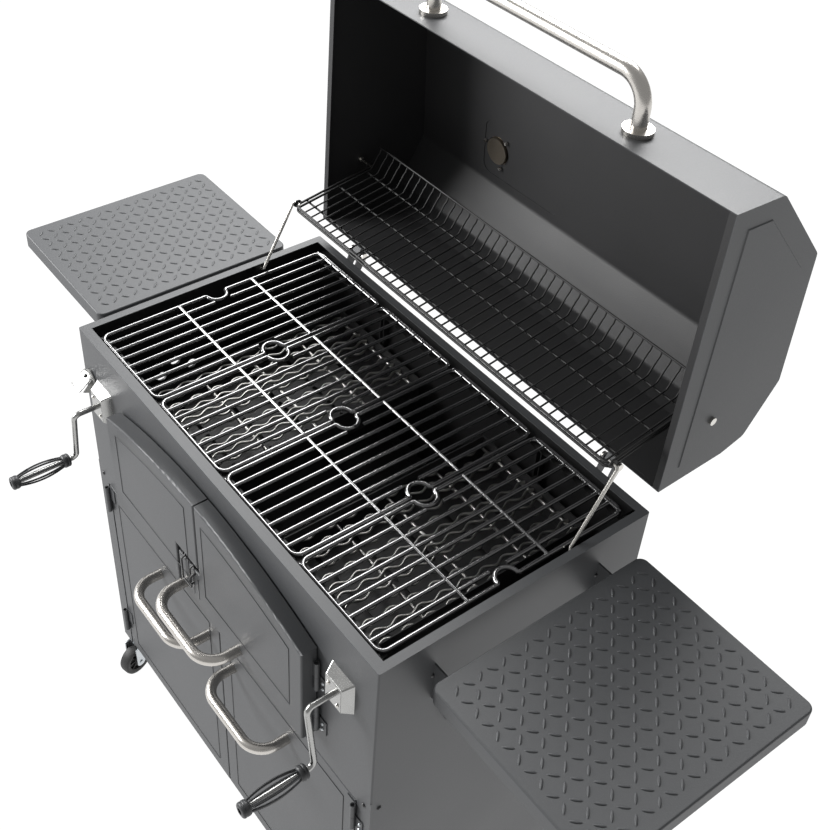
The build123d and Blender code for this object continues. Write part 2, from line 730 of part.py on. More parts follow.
with BuildPart() as crank_plates:
    for side in (-1, 1):
        with BuildSketch(facing_front(0)):
            with Locations((side * CRANK_X, rz(CRANK_Z))):
                Rectangle(56, 68)
        extrude(amount=18, taper=25)
    fillet([edge for edge in crank_plates.edges() if edge.center().Y < fy(-1)], 3)
    for side in (-1, 1):
        rod_y(CRANK_ROD_R + FIT, side * CRANK_X, (-19, 0), CRANK_Z, Mode.SUBTRACT)
save(crank_plates, "crank_plates")


# ------------------------------------------------------------------ doors
def knuckle(side, x, ups, leaf, pin):
    """Hinge half at a door's outer edge: `leaf` is its x, y and z limits, `pin` adds the pin."""
    block(*leaf)
    with Locations((side * x, fy(-KNUCKLE_OUT), rz(ups[0]))):
        Cylinder(KNUCKLE_R, ups[1] - ups[0], align=(Align.CENTER, Align.CENTER, Align.MIN))
        if pin:
            Cylinder(KNUCKLE_PIN_R, 2 * (ups[1] - ups[0]) - 3, align=(Align.CENTER, Align.CENTER, Align.MIN))
        else:
            Cylinder(KNUCKLE_PIN_R + FIT, ups[1] - ups[0], align=(Align.CENTER, Align.CENTER, Align.MIN),
                     mode=Mode.SUBTRACT)


CHARCOAL_HINGE = (DOOR_HALF + 5.0, (-184.0, -286.0))
CABINET_HINGE = (CABINET_OUTER + 2.0, (-430.0, -800.0))
with BuildPart() as door_hinges:
    for x, levels in (CHARCOAL_HINGE, CABINET_HINGE):
        for side in (-1, 1):
            for level in levels:
                ups = (level, level + KNUCKLE_LENGTH)
                leaf = (sorted((side * x, side * (x + 20))), (-2, 0), ups)
                knuckle(side, x, ups, leaf, True)
save(door_hinges, "door_hinges")


def arch_height(x):
    """Height of the arch at x, above the rim."""
    rise = DOOR_ARCH[1] - DOOR_ARCH[0]
    radius = (DOOR_HALF ** 2 + rise ** 2) / (2 * rise)
    return DOOR_ARCH[1] - radius + (radius ** 2 - x ** 2) ** 0.5


def charcoal_door_outline(side, inset=0.0):
    """Face of one charcoal door, inside the current sketch, drawn in by `inset`."""
    outer = side * DOOR_HALF
    seam = side * SEAM
    quarter = (outer + seam) / 2
    if side > 0:
        foot = [(outer, DOOR_BOTTOM), (LOBE_X, DOOR_BOTTOM), (LOBE_X, LOBE_TOP), (seam, LOBE_TOP)]
    else:
        foot = [(outer, DOOR_BOTTOM), (NOTCH_X, DOOR_BOTTOM), (NOTCH_X, NOTCH_TOP), (seam, NOTCH_TOP)]
    with BuildLine() as outline:
        ThreePointArc(
            (seam, rz(arch_height(seam))), (quarter, rz(arch_height(quarter))), (outer, rz(DOOR_ARCH[0])))
        Polyline((outer, rz(DOOR_ARCH[0])), *[(x, rz(z)) for x, z in foot], (seam, rz(arch_height(seam))))
    make_face(outline.line)
    if inset:
        offset(amount=-inset, kind=Kind.INTERSECTION)


def charcoal_door(side):
    """Pressed door pan, open at the back, with its hinge knuckles."""
    with BuildPart() as door:
        with BuildSketch(facing_front(-DOOR_OFF)):
            charcoal_door_outline(side)
        extrude(amount=DOOR_DEPTH)
        fillet(door.faces().sort_by(Axis.Y)[0].edges(), 3)
        with BuildSketch(facing_front(-DOOR_OFF)):
            charcoal_door_outline(side, SHEET)
        extrude(amount=DOOR_DEPTH - SHEET, mode=Mode.SUBTRACT)
        x, levels = CHARCOAL_HINGE
        for level in levels:
            ups = (level + KNUCKLE_LENGTH + 0.5, level + 2 * KNUCKLE_LENGTH + 0.5)
            leaf = (sorted((side * (DOOR_HALF - 1), side * x)), (-10, -4), ups)
            knuckle(side, x, ups, leaf, False)
    return door


save(charcoal_door(-1), "charcoal_door_left")
save(charcoal_door(1), "charcoal_door_right")


def cabinet_door(side):
    """Flat pan door set between the cart's front returns."""
    with BuildPart() as door:
        height = rz(CABINET_TOP) - CABINET_SILL
        width = CABINET_OUTER - SEAM
        middle = (side * (CABINET_OUTER + SEAM) / 2, CABINET_SILL + height / 2)
        with BuildSketch(facing_front(0)):
            with Locations(middle):
                Rectangle(width, height)
        extrude(amount=-CABINET_DEPTH)
        fillet(door.faces().sort_by(Axis.Y)[0].edges(), 1.5)
        with BuildSketch(facing_front(SHEET)):
            with Locations(middle):
                Rectangle(width - 2 * SHEET, height - 2 * SHEET)
        extrude(amount=-CABINET_DEPTH, mode=Mode.SUBTRACT)
        x, levels = CABINET_HINGE
        for level in levels:
            ups = (level + KNUCKLE_LENGTH + 0.5, level + 2 * KNUCKLE_LENGTH + 0.5)
            leaf = (sorted((side * (x - 20), side * x)), (-2, 1), ups)
            knuckle(side, x, ups, leaf, False)
    return door


save(cabinet_door(-1), "cabinet_door_left")
save(cabinet_door(1), "cabinet_door_right")


def bow_handle(left, up, back):
    """Round bow handle lying flat; `left` is its left foot, `back` the face that it stands on."""
    with BuildPart() as handle:
        ends = [(left, back), (left, back - HANDLE_REACH)]
        ends += [(2 * left + HANDLE_SPAN - x, y) for x, y in reversed(ends)]
        bent_rod([(x, fy(y), rz(up)) for x, y in ends], HANDLE_R, 40)
    return handle


CABINET_HANDLE_X = 43.0
CABINET_HANDLE_UP = -435.0
save(bow_handle(-50, -276, -DOOR_OFF - DOOR_DEPTH), "charcoal_door_handle")
save(bow_handle(-CABINET_HANDLE_X - HANDLE_SPAN, CABINET_HANDLE_UP, 0), "cabinet_handle_left")
save(bow_handle(CABINET_HANDLE_X, CABINET_HANDLE_UP, 0), "cabinet_handle_right")

# ------------------------------------------------------------------ charcoal door latch
BAIL_X = (-48.0, -12.0)
BAIL_AT = (-27.0, LOBE_TOP + 5.5)
with BuildPart() as latch_bracket:
    block((-54, -6), (-27, -10), (LOBE_TOP, LOBE_TOP + 2))
    for x in BAIL_X:
        block((x - 4.5, x - 2.5), (-30, -16), (LOBE_TOP + 2, LOBE_TOP + 9))
        rod_x(1.6, (x - 4.6, x - 2.4), *BAIL_AT, Mode.SUBTRACT)
save(latch_bracket, "latch_bracket")

with BuildPart() as latch_bail:
    y, z = BAIL_AT
    points = [
        (BAIL_X[0] - 5, fy(y), rz(z)), (BAIL_X[0] + 2, fy(y), rz(z)), (BAIL_X[0] + 2, fy(y - 8), rz(z - 5)),
        (BAIL_X[0] + 2, fy(y - 8), rz(z - 52)), (BAIL_X[1] - 7, fy(y - 8), rz(z - 52)),
        (BAIL_X[1] - 7, fy(y - 8), rz(z - 5)), (BAIL_X[1] - 7, fy(y), rz(z)), (BAIL_X[1] - 2, fy(y), rz(z)),
    ]
    bent_rod(points, 1.5, 2)
save(latch_bail, "latch_bail")

# ------------------------------------------------------------------ casters
caster_spots = {
    f"{end}_{hand}": (side * CASTER_X, fy(back))
    for end, back in zip(("front", "back"), CASTER_Y) for hand, side in (("left", -1), ("right", 1))
}
RACE_Z = CART_BOTTOM - 10.0
with BuildPart() as caster_plates:
    for x, y in caster_spots.values():
        with Locations((x, y, CART_BOTTOM - 1.5)):
            Box(46, 46, 3)
        with Locations((x, y, CART_BOTTOM - 3)):
            Cylinder(20, 6.5, align=(Align.CENTER, Align.CENTER, Align.MAX))
            Cylinder(5, 20, align=(Align.CENTER, Align.CENTER, Align.MAX))
save(caster_plates, "caster_plates")


def caster_base(spot):
    """Caster's own plane on the floor: its trail runs along local +Y."""
    x, y = caster_spots[spot]
    turn = radians(CASTER_TURN[spot])
    return Plane((x, y, 0), x_dir=(cos(turn), sin(turn), 0), z_dir=(0, 0, 1))


def caster_fork(spot):
    """Swivel fork with its wheel axle."""
    low, high = (Align.CENTER, Align.CENTER, Align.MIN), RACE_Z
    with BuildPart(caster_base(spot)) as fork:
        with Locations((0, 0, high - 3.2)):
            Cylinder(24, 3, align=low)
        for flank in (-1, 1):
            with Locations((flank * 16.5, CASTER_TRAIL / 2, high - 3.2)):
                Box(3, CASTER_TRAIL + 22, 3, align=low)
            with Locations((flank * 16.5, CASTER_TRAIL, WHEEL_R)):
                Box(3, 22, high - WHEEL_R - 3, align=low)
            with Locations(Location((flank * 16.5, CASTER_TRAIL, WHEEL_R), (0, 90, 0))):
                Cylinder(11, 3)
        with Locations((0, CASTER_TRAIL / 2, high - 3.2)):
            Box(36, 14, 3, align=low)
        with Locations(Location((0, CASTER_TRAIL, WHEEL_R), (0, 90, 0))):
            Cylinder(4, 40)
        with Locations((0, 0, high - 5)):
            Cylinder(5 + FIT, 8, align=low, mode=Mode.SUBTRACT)
    return fork


def caster_wheel(spot):
    """Solid wheel with a recessed web on both sides."""
    with BuildPart(caster_base(spot)) as wheel:
        with Locations(Location((0, CASTER_TRAIL, WHEEL_R), (0, 90, 0))):
            Cylinder(WHEEL_R, WHEEL_WIDTH)
            Cylinder(4 + FIT, 40, mode=Mode.SUBTRACT)
        fillet(wheel.edges().filter_by(GeomType.CIRCLE).sort_by(SortBy.LENGTH)[-2:], 4)
    return wheel


for spot in caster_spots:
    save(caster_fork(spot), f"caster_fork_{spot}")
    save(caster_wheel(spot), f"wheel_{spot}")


# ------------------------------------------------------------------ side dampers
def damper(side):
    """Round shutter over the side vents, with a bent finger tab."""
    with BuildPart() as disc:
        with BuildSketch(Plane.YZ.offset(side * (WIDTH / 2 + 1.6) - 0.8)):
            with Locations((fy(DAMPER_Y), rz(DAMPER_Z))):
                Circle(52)
                with PolarLocations(DAMPER_HOLE_RING, DAMPER_HOLES, start_angle=20):
                    Circle(DAMPER_HOLE_R, mode=Mode.SUBTRACT)
                Circle(4 + FIT, mode=Mode.SUBTRACT)
        extrude(amount=1.6)
        tab = sorted((side * (WIDTH / 2 + 0.8), side * (WIDTH / 2 + 16)))
        block(tab, (DAMPER_Y - 51, DAMPER_Y - 49), (DAMPER_Z - 9, DAMPER_Z + 9))
    return disc


save(damper(-1), "damper_left")
save(damper(1), "damper_right")
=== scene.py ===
"""Charcoal grill cart: wire work, pressed details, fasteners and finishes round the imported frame."""

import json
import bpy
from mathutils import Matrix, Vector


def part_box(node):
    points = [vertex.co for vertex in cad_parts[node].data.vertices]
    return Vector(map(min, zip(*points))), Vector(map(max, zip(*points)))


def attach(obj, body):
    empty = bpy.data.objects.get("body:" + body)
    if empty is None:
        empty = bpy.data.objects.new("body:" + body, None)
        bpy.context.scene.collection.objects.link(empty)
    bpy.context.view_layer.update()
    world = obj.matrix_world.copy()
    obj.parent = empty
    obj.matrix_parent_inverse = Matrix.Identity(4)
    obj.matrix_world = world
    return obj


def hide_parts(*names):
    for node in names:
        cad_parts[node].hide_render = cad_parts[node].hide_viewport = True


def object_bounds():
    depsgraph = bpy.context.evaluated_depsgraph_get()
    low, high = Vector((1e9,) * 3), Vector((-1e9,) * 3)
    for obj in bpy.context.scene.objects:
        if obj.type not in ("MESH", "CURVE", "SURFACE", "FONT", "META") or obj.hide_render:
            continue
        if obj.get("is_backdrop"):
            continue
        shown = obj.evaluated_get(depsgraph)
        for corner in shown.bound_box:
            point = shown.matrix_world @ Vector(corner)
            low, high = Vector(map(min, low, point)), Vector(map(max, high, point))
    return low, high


bl_info = {
    "name": "Charcoal Grill Cart",
    "version": (1, 0, 0),
    "blender": (4, 5, 0),
    "location": "View3D > Sidebar > Grill",
    "description": "Builds the visible pieces and finishes of a charcoal grill cart round its packed frame",
    "category": "Add Mesh",
}

from math import cos, pi, radians, sin, tau

import bmesh
import bpy
from bpy.props import FloatProperty, FloatVectorProperty, IntProperty, PointerProperty
from mathutils import Matrix, Vector

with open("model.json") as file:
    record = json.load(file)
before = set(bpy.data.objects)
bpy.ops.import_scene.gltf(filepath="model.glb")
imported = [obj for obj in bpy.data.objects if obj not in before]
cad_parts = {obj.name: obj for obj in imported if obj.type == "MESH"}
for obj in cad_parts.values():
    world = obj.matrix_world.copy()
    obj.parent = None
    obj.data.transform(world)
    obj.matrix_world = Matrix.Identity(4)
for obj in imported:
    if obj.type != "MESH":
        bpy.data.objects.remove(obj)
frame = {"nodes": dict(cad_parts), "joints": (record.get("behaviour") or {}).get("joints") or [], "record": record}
cad_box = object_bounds()

MM = 0.001
X, Y, Z = Vector((1, 0, 0)), Vector((0, 1, 0)), Vector((0, 0, 1))
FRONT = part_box("cart_floor")[0].y - 2 * MM      # front face of the fire box
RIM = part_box("fire_box")[1].z
HALF_WIDTH, HALF_DEPTH = 440, 255               # fire box outside, in millimetres
JOINTS = {joint["name"]: joint for joint in frame["joints"]}
SIDES = ((-1, "left"), (1, "right"))


def at(x, back, up):
    """Point in the shared frame from millimetres: x, behind the fire box's front, above its rim."""
    return Vector((x * MM, FRONT + back * MM, RIM + up * MM))


# ---- user settings
class GrateSettings(bpy.types.PropertyGroup):
    bars: IntProperty(name="Bars", description="Bars inside each cooking grate's frame", default=7, min=1)
    bar_radius: FloatProperty(name="Bar radius", description="Radius of the cooking grate bars",
                              default=3.5 * MM, unit="LENGTH")
    frame_radius: FloatProperty(name="Frame radius", description="Radius of the grate's frame rod",
                                default=3.9 * MM, unit="LENGTH")
    loop_radius: FloatProperty(name="Finger loop", description="Radius of the half loops at mid depth",
                               default=19 * MM, unit="LENGTH")
    wave_length: FloatProperty(name="Wave length", description="Length of one wave of a charcoal grate bar",
                               default=42 * MM, unit="LENGTH")
    wave_height: FloatProperty(name="Wave height", description="Sideways swing of a charcoal grate bar",
                               default=3.9 * MM, unit="LENGTH")
    wave_bars: IntProperty(name="Wavy bars", description="Wavy bars on each charcoal grate", default=12,
                           min=2)


class RackSettings(bpy.types.PropertyGroup):
    wires: IntProperty(name="Wires", description="Cross wires of the warming rack", default=41, min=2)
    wire_radius: FloatProperty(name="Wire radius", description="Radius of a cross wire",
                               default=1.6 * MM, unit="LENGTH")


class TreadSettings(bpy.types.PropertyGroup):
    pitch: FloatProperty(name="Pitch", description="Distance between raised marks on the shelves",
                         default=20.7 * MM, unit="LENGTH")
    length: FloatProperty(name="Length", description="Length of a raised mark", default=17.5 * MM,
                          unit="LENGTH")
    width: FloatProperty(name="Width", description="Width of a raised mark", default=4.6 * MM, unit="LENGTH")
    height: FloatProperty(name="Height", description="Height of a raised mark", default=1.5 * MM,
                          unit="LENGTH")


class FinishSettings(bpy.types.PropertyGroup):
    powder: FloatVectorProperty(name="Powder coat", description="Colour of the powder coat",
                                default=(0.050, 0.052, 0.055), subtype="COLOR")
    # Colour of the dark inside parts. It is also painted shade on the fire box's and hood's inner faces, which
    # have the same powder coat as outside.
    interior: FloatVectorProperty(name="Inside paint", description="Colour of the heat-proof paint inside",
                                  default=(0.012, 0.012, 0.0125), subtype="COLOR")
    steel: FloatVectorProperty(name="Stainless", description="Colour of the brushed handles",
                               default=(0.62, 0.595, 0.56), subtype="COLOR")
    enamel: FloatVectorProperty(name="Enamel", description="Colour of the cooking grates",
                                default=(0.020, 0.020, 0.021), subtype="COLOR")


# ---- shader maths
class Socket:
    """A number in a material, with arithmetic that adds Math nodes."""

    def __init__(self, sheet, link):
        self.sheet = sheet
        self.link = link

    def math(self, operation, first, second):
        return self.sheet.math(operation, first, second)

    def __add__(self, other):
        return self.math("ADD", self, other)

    __radd__ = __add__

    def __mul__(self, other):
        return self.math("MULTIPLY", self, other)

    def __sub__(self, other):
        return self.math("SUBTRACT", self, other)


class Sheet:
    """One material's node tree."""

    def __init__(self, name):
        self.material = bpy.data.materials.new(name)
        self.material.use_nodes = True
        self.tree = self.material.node_tree
        self.shader = self.tree.nodes["Principled BSDF"]

    def plug(self, socket, value):
        if isinstance(value, Socket):
            self.tree.links.new(value.link, socket)
        else:
            socket.default_value = value

    def node(self, kind, settings=None, values=None, out=0):
        made = self.tree.nodes.new(kind)
        for key, value in (settings or {}).items():
            if key == "stops":
                ramp = made.color_ramp
                for element, (place, level) in zip(ramp.elements, value):
                    element.position = place
                    element.color = (level, level, level, 1)
            else:
                setattr(made, key, value)
        for key, value in (values or {}).items():
            self.plug(made.inputs[key], value)
        return Socket(self, made.outputs[out])

    def math(self, operation, first, second):
        return self.node("ShaderNodeMath", {"operation": operation}, {0: first, 1: second})

    def place(self):
        """The object's own x, y and z."""
        split = self.tree.nodes.new("ShaderNodeSeparateXYZ")
        self.plug(split.inputs[0], self.node("ShaderNodeTexCoord", out="Object"))
        return [Socket(self, output) for output in split.outputs]

    def noise(self, scale, detail, stretch=(1, 1, 1)):
        """Noise over the object's own coordinates, from 0 to 1."""
        place = self.node("ShaderNodeTexCoord", out="Object")
        if stretch != (1, 1, 1):
            place = self.node("ShaderNodeMapping", None, {"Vector": place, "Scale": stretch})
        return self.node("ShaderNodeTexNoise", None, {"Vector": place, "Scale": scale, "Detail": detail},
                         out="Fac")

    def ramp(self, value, low, high):
        """0 below `low`, 1 above `high`."""
        return self.node("ShaderNodeValToRGB", {"stops": ((low, 0.0), (high, 1.0))}, {"Fac": value})

    def mix(self, factor, first, second):
        """Colour mixed from two colours."""
        return self.node("ShaderNodeMix", {"data_type": "RGBA"},
                         {0: factor, 6: as_colour(first), 7: as_colour(second)}, out=2)

    def bump(self, height, distance, strength):
        return self.node("ShaderNodeBump", None,
                         {"Height": height, "Distance": distance, "Strength": strength})

    def surface(self, **values):
        for name, value in values.items():
            self.plug(self.shader.inputs[name.replace("_", " ")], value)
        return self.material


def as_colour(value):
    return value if isinstance(value, Socket) else (*tuple(value)[:3], 1.0)


def shade(colour, factor):
    return tuple(min(1.0, part * factor) for part in tuple(colour)[:3])


# ---- finishes
WALL_SKIN = 1.1                                 # a wall's outer layer that keeps the powder coat
# the closed hood's side seen from the end: corners behind the front and above the rim
HOOD_PROFILE = ((14, 2.5), (16, 98), (151, 223), (391, 238), (480, 186), (494, 140), (503, 2.5))
HOOD_SKIN = (1.5, 1.5, 0.78, 1.5, 1.5, 1.5)     # outer layer of each of its facets


def within(sheet, value, half_mm):
    """1 where a coordinate is less than `half_mm` from zero."""
    return sheet.math("LESS_THAN", sheet.math("ABSOLUTE", value, 0.0), (half_mm - WALL_SKIN) * MM)


def box_inside(sheet):
    """1 on the fire box's inner faces, which get painted shade: within its walls and below its rim."""
    x, y, z = sheet.place()
    inside = within(sheet, x, HALF_WIDTH) * within(sheet, y - (FRONT + HALF_DEPTH * MM), HALF_DEPTH)
    return inside * sheet.math("LESS_THAN", z, RIM - 1 * MM)


def hood_inside(sheet):
    """1 on the hood's inner faces, which get painted shade: within its two ends and behind every facet."""
    x, y, z = sheet.place()
    hinge = JOINTS["hood_hinge"]
    pivot = Vector(hinge["pos_m"])
    turn = Matrix.Rotation(-radians(hinge["range_deg"][1]), 3, "X")
    corners = [turn @ (at(0, *corner) - pivot) + pivot for corner in HOOD_PROFILE]
    inside = within(sheet, x, HALF_WIDTH)
    for first, second, skin in zip(corners, corners[1:], HOOD_SKIN):
        inward = X.cross(second - first).normalized()
        if inward.dot(corners[-1] - first) + inward.dot(corners[0] - second) < 0:
            inward.negate()
        away = y * inward.y + z * inward.z
        inside = inside * sheet.math("GREATER_THAN", away, inward.dot(first) + skin * MM)
    return inside


def powder_coat(name, colour, roughness=0.46, inside=None, paint=None):
    """Satin powder coat: cloudy tone, an orange-peel skin and a few rubbed specks.

    Where `inside` is 1, a darker painted shade takes the coat's place.
    """
    sheet = Sheet(name)
    cloud = sheet.noise(5.0, 4.0)
    peel = sheet.noise(420.0, 3.0)
    speck = sheet.ramp(sheet.noise(1300.0, 1.0), 0.62, 0.74)
    tone = sheet.mix(cloud, shade(colour, 0.88), shade(colour, 1.14))
    tone = sheet.mix(speck * 0.35, tone, shade(colour, 2.1))
    if inside:
        # painted shade: the masked inner faces get a darker colour and a rougher finish
        mask = inside(sheet)
        tone = sheet.mix(mask, tone, sheet.mix(cloud, shade(paint, 0.7), shade(paint, 1.3)))
        roughness = mask * 0.08 + roughness
    roughness = roughness + (cloud - 0.5) * 0.10 + (peel - 0.5) * 0.10
    return sheet.surface(Base_Color=tone, Roughness=roughness, Normal=sheet.bump(peel, 0.22 * MM, 0.55))


def oven_black(name, colour):
    """Heat-proof inside paint, duller where smoke and ash have settled."""
    sheet = Sheet(name)
    soot = sheet.ramp(sheet.noise(9.0, 5.0), 0.35, 0.7)
    grain = sheet.noise(600.0, 2.0)
    tone = sheet.mix(soot, shade(colour, 0.75), shade(colour, 1.25))
    return sheet.surface(Base_Color=tone, Roughness=0.52 + soot * 0.14,
                         Normal=sheet.bump(grain, 0.15 * MM, 0.5))


def porcelain(name, colour):
    """Gloss enamel on wire: thick, slightly uneven skin."""
    sheet = Sheet(name)
    flow = sheet.noise(120.0, 2.0)
    patch = sheet.noise(14.0, 3.0)
    tone = sheet.mix(patch, shade(colour, 0.8), shade(colour, 1.6))
    return sheet.surface(Base_Color=tone, Roughness=0.14 + patch * 0.08, Coat_Weight=1.0, IOR=2.2,
                         Normal=sheet.bump(flow, 0.6 * MM, 0.5))


def brushed(name, colour, stretch, roughness):
    """Brushed metal: fine scratches along one direction and broad cloudy wear."""
    sheet = Sheet(name)
    lines = sheet.noise(1.0, 2.0, stretch)
    cloud = sheet.noise(14.0, 2.0)
    tone = sheet.mix(lines * 0.5 + cloud * 0.5, shade(colour, 0.92), shade(colour, 1.05))
    roughness = roughness + (lines - 0.5) * 0.05 + cloud * 0.04
    return sheet.surface(Base_Color=tone, Metallic=1.0, Roughness=roughness,
                         Normal=sheet.bump(lines, 0.02 * MM, 0.3))


def plated(name, colour, roughness, spread):
    """Plated metal: bright, with a cloudy skin and small pits."""
    sheet = Sheet(name)
    cloud = sheet.noise(35.0, 4.0)
    pits = sheet.ramp(sheet.noise(800.0, 2.0), 0.60, 0.72)
    tone = sheet.mix(cloud, shade(colour, 0.84), shade(colour, 1.08))
    tone = sheet.mix(pits * 0.5, tone, shade(colour, 0.55))
    roughness = roughness + cloud * spread + pits * 0.15
    return sheet.surface(Base_Color=tone, Metallic=1.0, Roughness=roughness,
                         Normal=sheet.bump(cloud, 0.4 * MM, 0.25))


def moulded(name, colour, roughness):
    """Moulded plastic or rubber with a fine spark-eroded grain."""
    sheet = Sheet(name)
    grain = sheet.noise(700.0, 2.0)
    scuff = sheet.ramp(sheet.noise(40.0, 4.0), 0.55, 0.75)
    tone = sheet.mix(scuff, colour, shade(colour, 1.7))
    return sheet.surface(Base_Color=tone, Roughness=roughness + scuff * 0.12,
                         Normal=sheet.bump(grain, 0.25 * MM, 0.6))


FINISH = {}


def make_finishes(settings):
    powder = settings.powder
    FINISH.update(
        powder_coat=powder_coat("powder_coat", powder),
        # the fire box and the hood have painted shade on their inner faces, a little lighter inside the hood
        box_coat=powder_coat("box_coat", powder, inside=box_inside, paint=settings.interior),
        hood_coat=powder_coat("hood_coat", powder, inside=hood_inside,
                              paint=shade(settings.interior, 1.6)),
        # painted shade: a near-black copy of the powder coat for the shade in the doors' pressed lines
        seam=powder_coat("seam", shade(powder, 0.16), 0.6),
        # painted light: the shelves and their marks get a slightly lighter copy of the powder coat, for their lit
        # tops
        shelf_coat=powder_coat("shelf_coat", shade(powder, 1.05), 0.5),
        black_latch=powder_coat("black_latch", (0.016, 0.016, 0.017), 0.36),
        inside=oven_black("inside", settings.interior),
        tray_steel=oven_black("tray_steel", shade(settings.interior, 1.9)),
        porcelain=porcelain("porcelain", settings.enamel),
        black_wire=oven_black("black_wire", (0.008, 0.008, 0.008)),
        grate_wire=plated("grate_wire", (0.42, 0.415, 0.40), 0.24, 0.2),
        stainless=brushed("stainless", settings.steel, (10, 260, 260), 0.25),
        bright_steel=plated("bright_steel", (0.72, 0.70, 0.66), 0.16, 0.14),
        chrome=plated("chrome", (0.44, 0.44, 0.43), 0.20, 0.10),
        zinc=plated("zinc", (0.60, 0.63, 0.65), 0.24, 0.22),
        gauge_metal=brushed("gauge_metal", (0.30, 0.26, 0.21), (500, 500, 40), 0.3),
        gauge_red=powder_coat("gauge_red", (0.45, 0.03, 0.02), 0.4),
        dial_paint=powder_coat("dial_paint", (0.72, 0.71, 0.68), 0.5),
        grip_black=moulded("grip_black", (0.030, 0.031, 0.033), 0.42),
        tyre=moulded("tyre", (0.020, 0.020, 0.020), 0.55),
    )


# ---- meshes and pieces
def mesh_from(verts, faces=(), edges=()):
    mesh = bpy.data.meshes.new("made")
    mesh.from_pydata([tuple(v) for v in verts], list(edges), list(faces))
    mesh.update()
    return mesh


def polyline(points, closed=False):
    """Mesh of edges only, along a list of points."""
    count = len(points)
    edges = [(i, i + 1) for i in range(count - 1)] + ([(count - 1, 0)] if closed else [])
    return mesh_from(points, edges=edges)


def add_piece(name, meshes, finish, body, slot, replaces=(), smooth_angle=35):
    """Joins meshes, which are used up, into one finished piece that rides on a body."""
    whole = bmesh.new()
    for part in meshes:
        whole.from_mesh(part)
        bpy.data.meshes.remove(part)
    bmesh.ops.recalc_face_normals(whole, faces=whole.faces)
    mesh = bpy.data.meshes.new(name)
    whole.to_mesh(mesh)
    whole.free()
    mesh.materials.clear()
    mesh.materials.append(FINISH[finish])
    mesh.polygons.foreach_set("material_index", [0] * len(mesh.polygons))
    mesh.shade_smooth()
    mesh.set_sharp_from_angle(angle=radians(smooth_angle))
    piece = bpy.data.objects.new(name, mesh)
    bpy.context.scene.collection.objects.link(piece)
    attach(piece, body)
    if replaces:
        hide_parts(*replaces)


def prism(outline, axis, depth, bevel=0.0):
    """Solid from a flat outline of points, pushed along `axis` by `depth`, its edges rounded."""
    made = bmesh.new()
    face = made.faces.new([made.verts.new(p) for p in outline])
    pushed = bmesh.ops.extrude_face_region(made, geom=[face])
    moved = [g for g in pushed["geom"] if isinstance(g, bmesh.types.BMVert)]
    bmesh.ops.translate(made, verts=moved, vec=Vector(axis) * depth)
    bmesh.ops.recalc_face_normals(made, faces=made.faces)
    if bevel:
        bmesh.ops.bevel(made, geom=made.edges[:], offset=bevel, segments=2, affect="EDGES", profile=0.5,
                        clamp_overlap=True)
    mesh = bpy.data.meshes.new("prism")
    made.to_mesh(mesh)
    made.free()
    return mesh


def slab(low, high, bevel):
    """Box between two corners."""
    corners = ((low.x, low.y), (high.x, low.y), (high.x, high.y), (low.x, high.y))
    return prism([(x, y, low.z) for x, y in corners], Z, high.z - low.z, bevel)


def lathe(profile, base, sides):
    """Solid of revolution: `profile` is (radius, along) pairs in millimetres and `base` the axis frame."""
    verts, faces = [], []
    for k in range(sides):
        turn = tau * k / sides
        verts += [base @ Vector((r * MM * cos(turn), r * MM * sin(turn), along * MM)) for r, along in profile]
    count = len(profile)
    for k in range(sides):
        a, b = k * count, (k + 1) % sides * count
        for i in range(count):
            j = (i + 1) % count
            faces.append((a + i, b + i, b + j, a + j))
    return mesh_from(verts, faces)


def axis_frame(origin, direction):
    """Matrix whose Z runs along `direction` from `origin`."""
    turn = Vector(direction).to_track_quat("Z", "Y").to_matrix().to_4x4()
    return Matrix.Translation(origin) @ turn


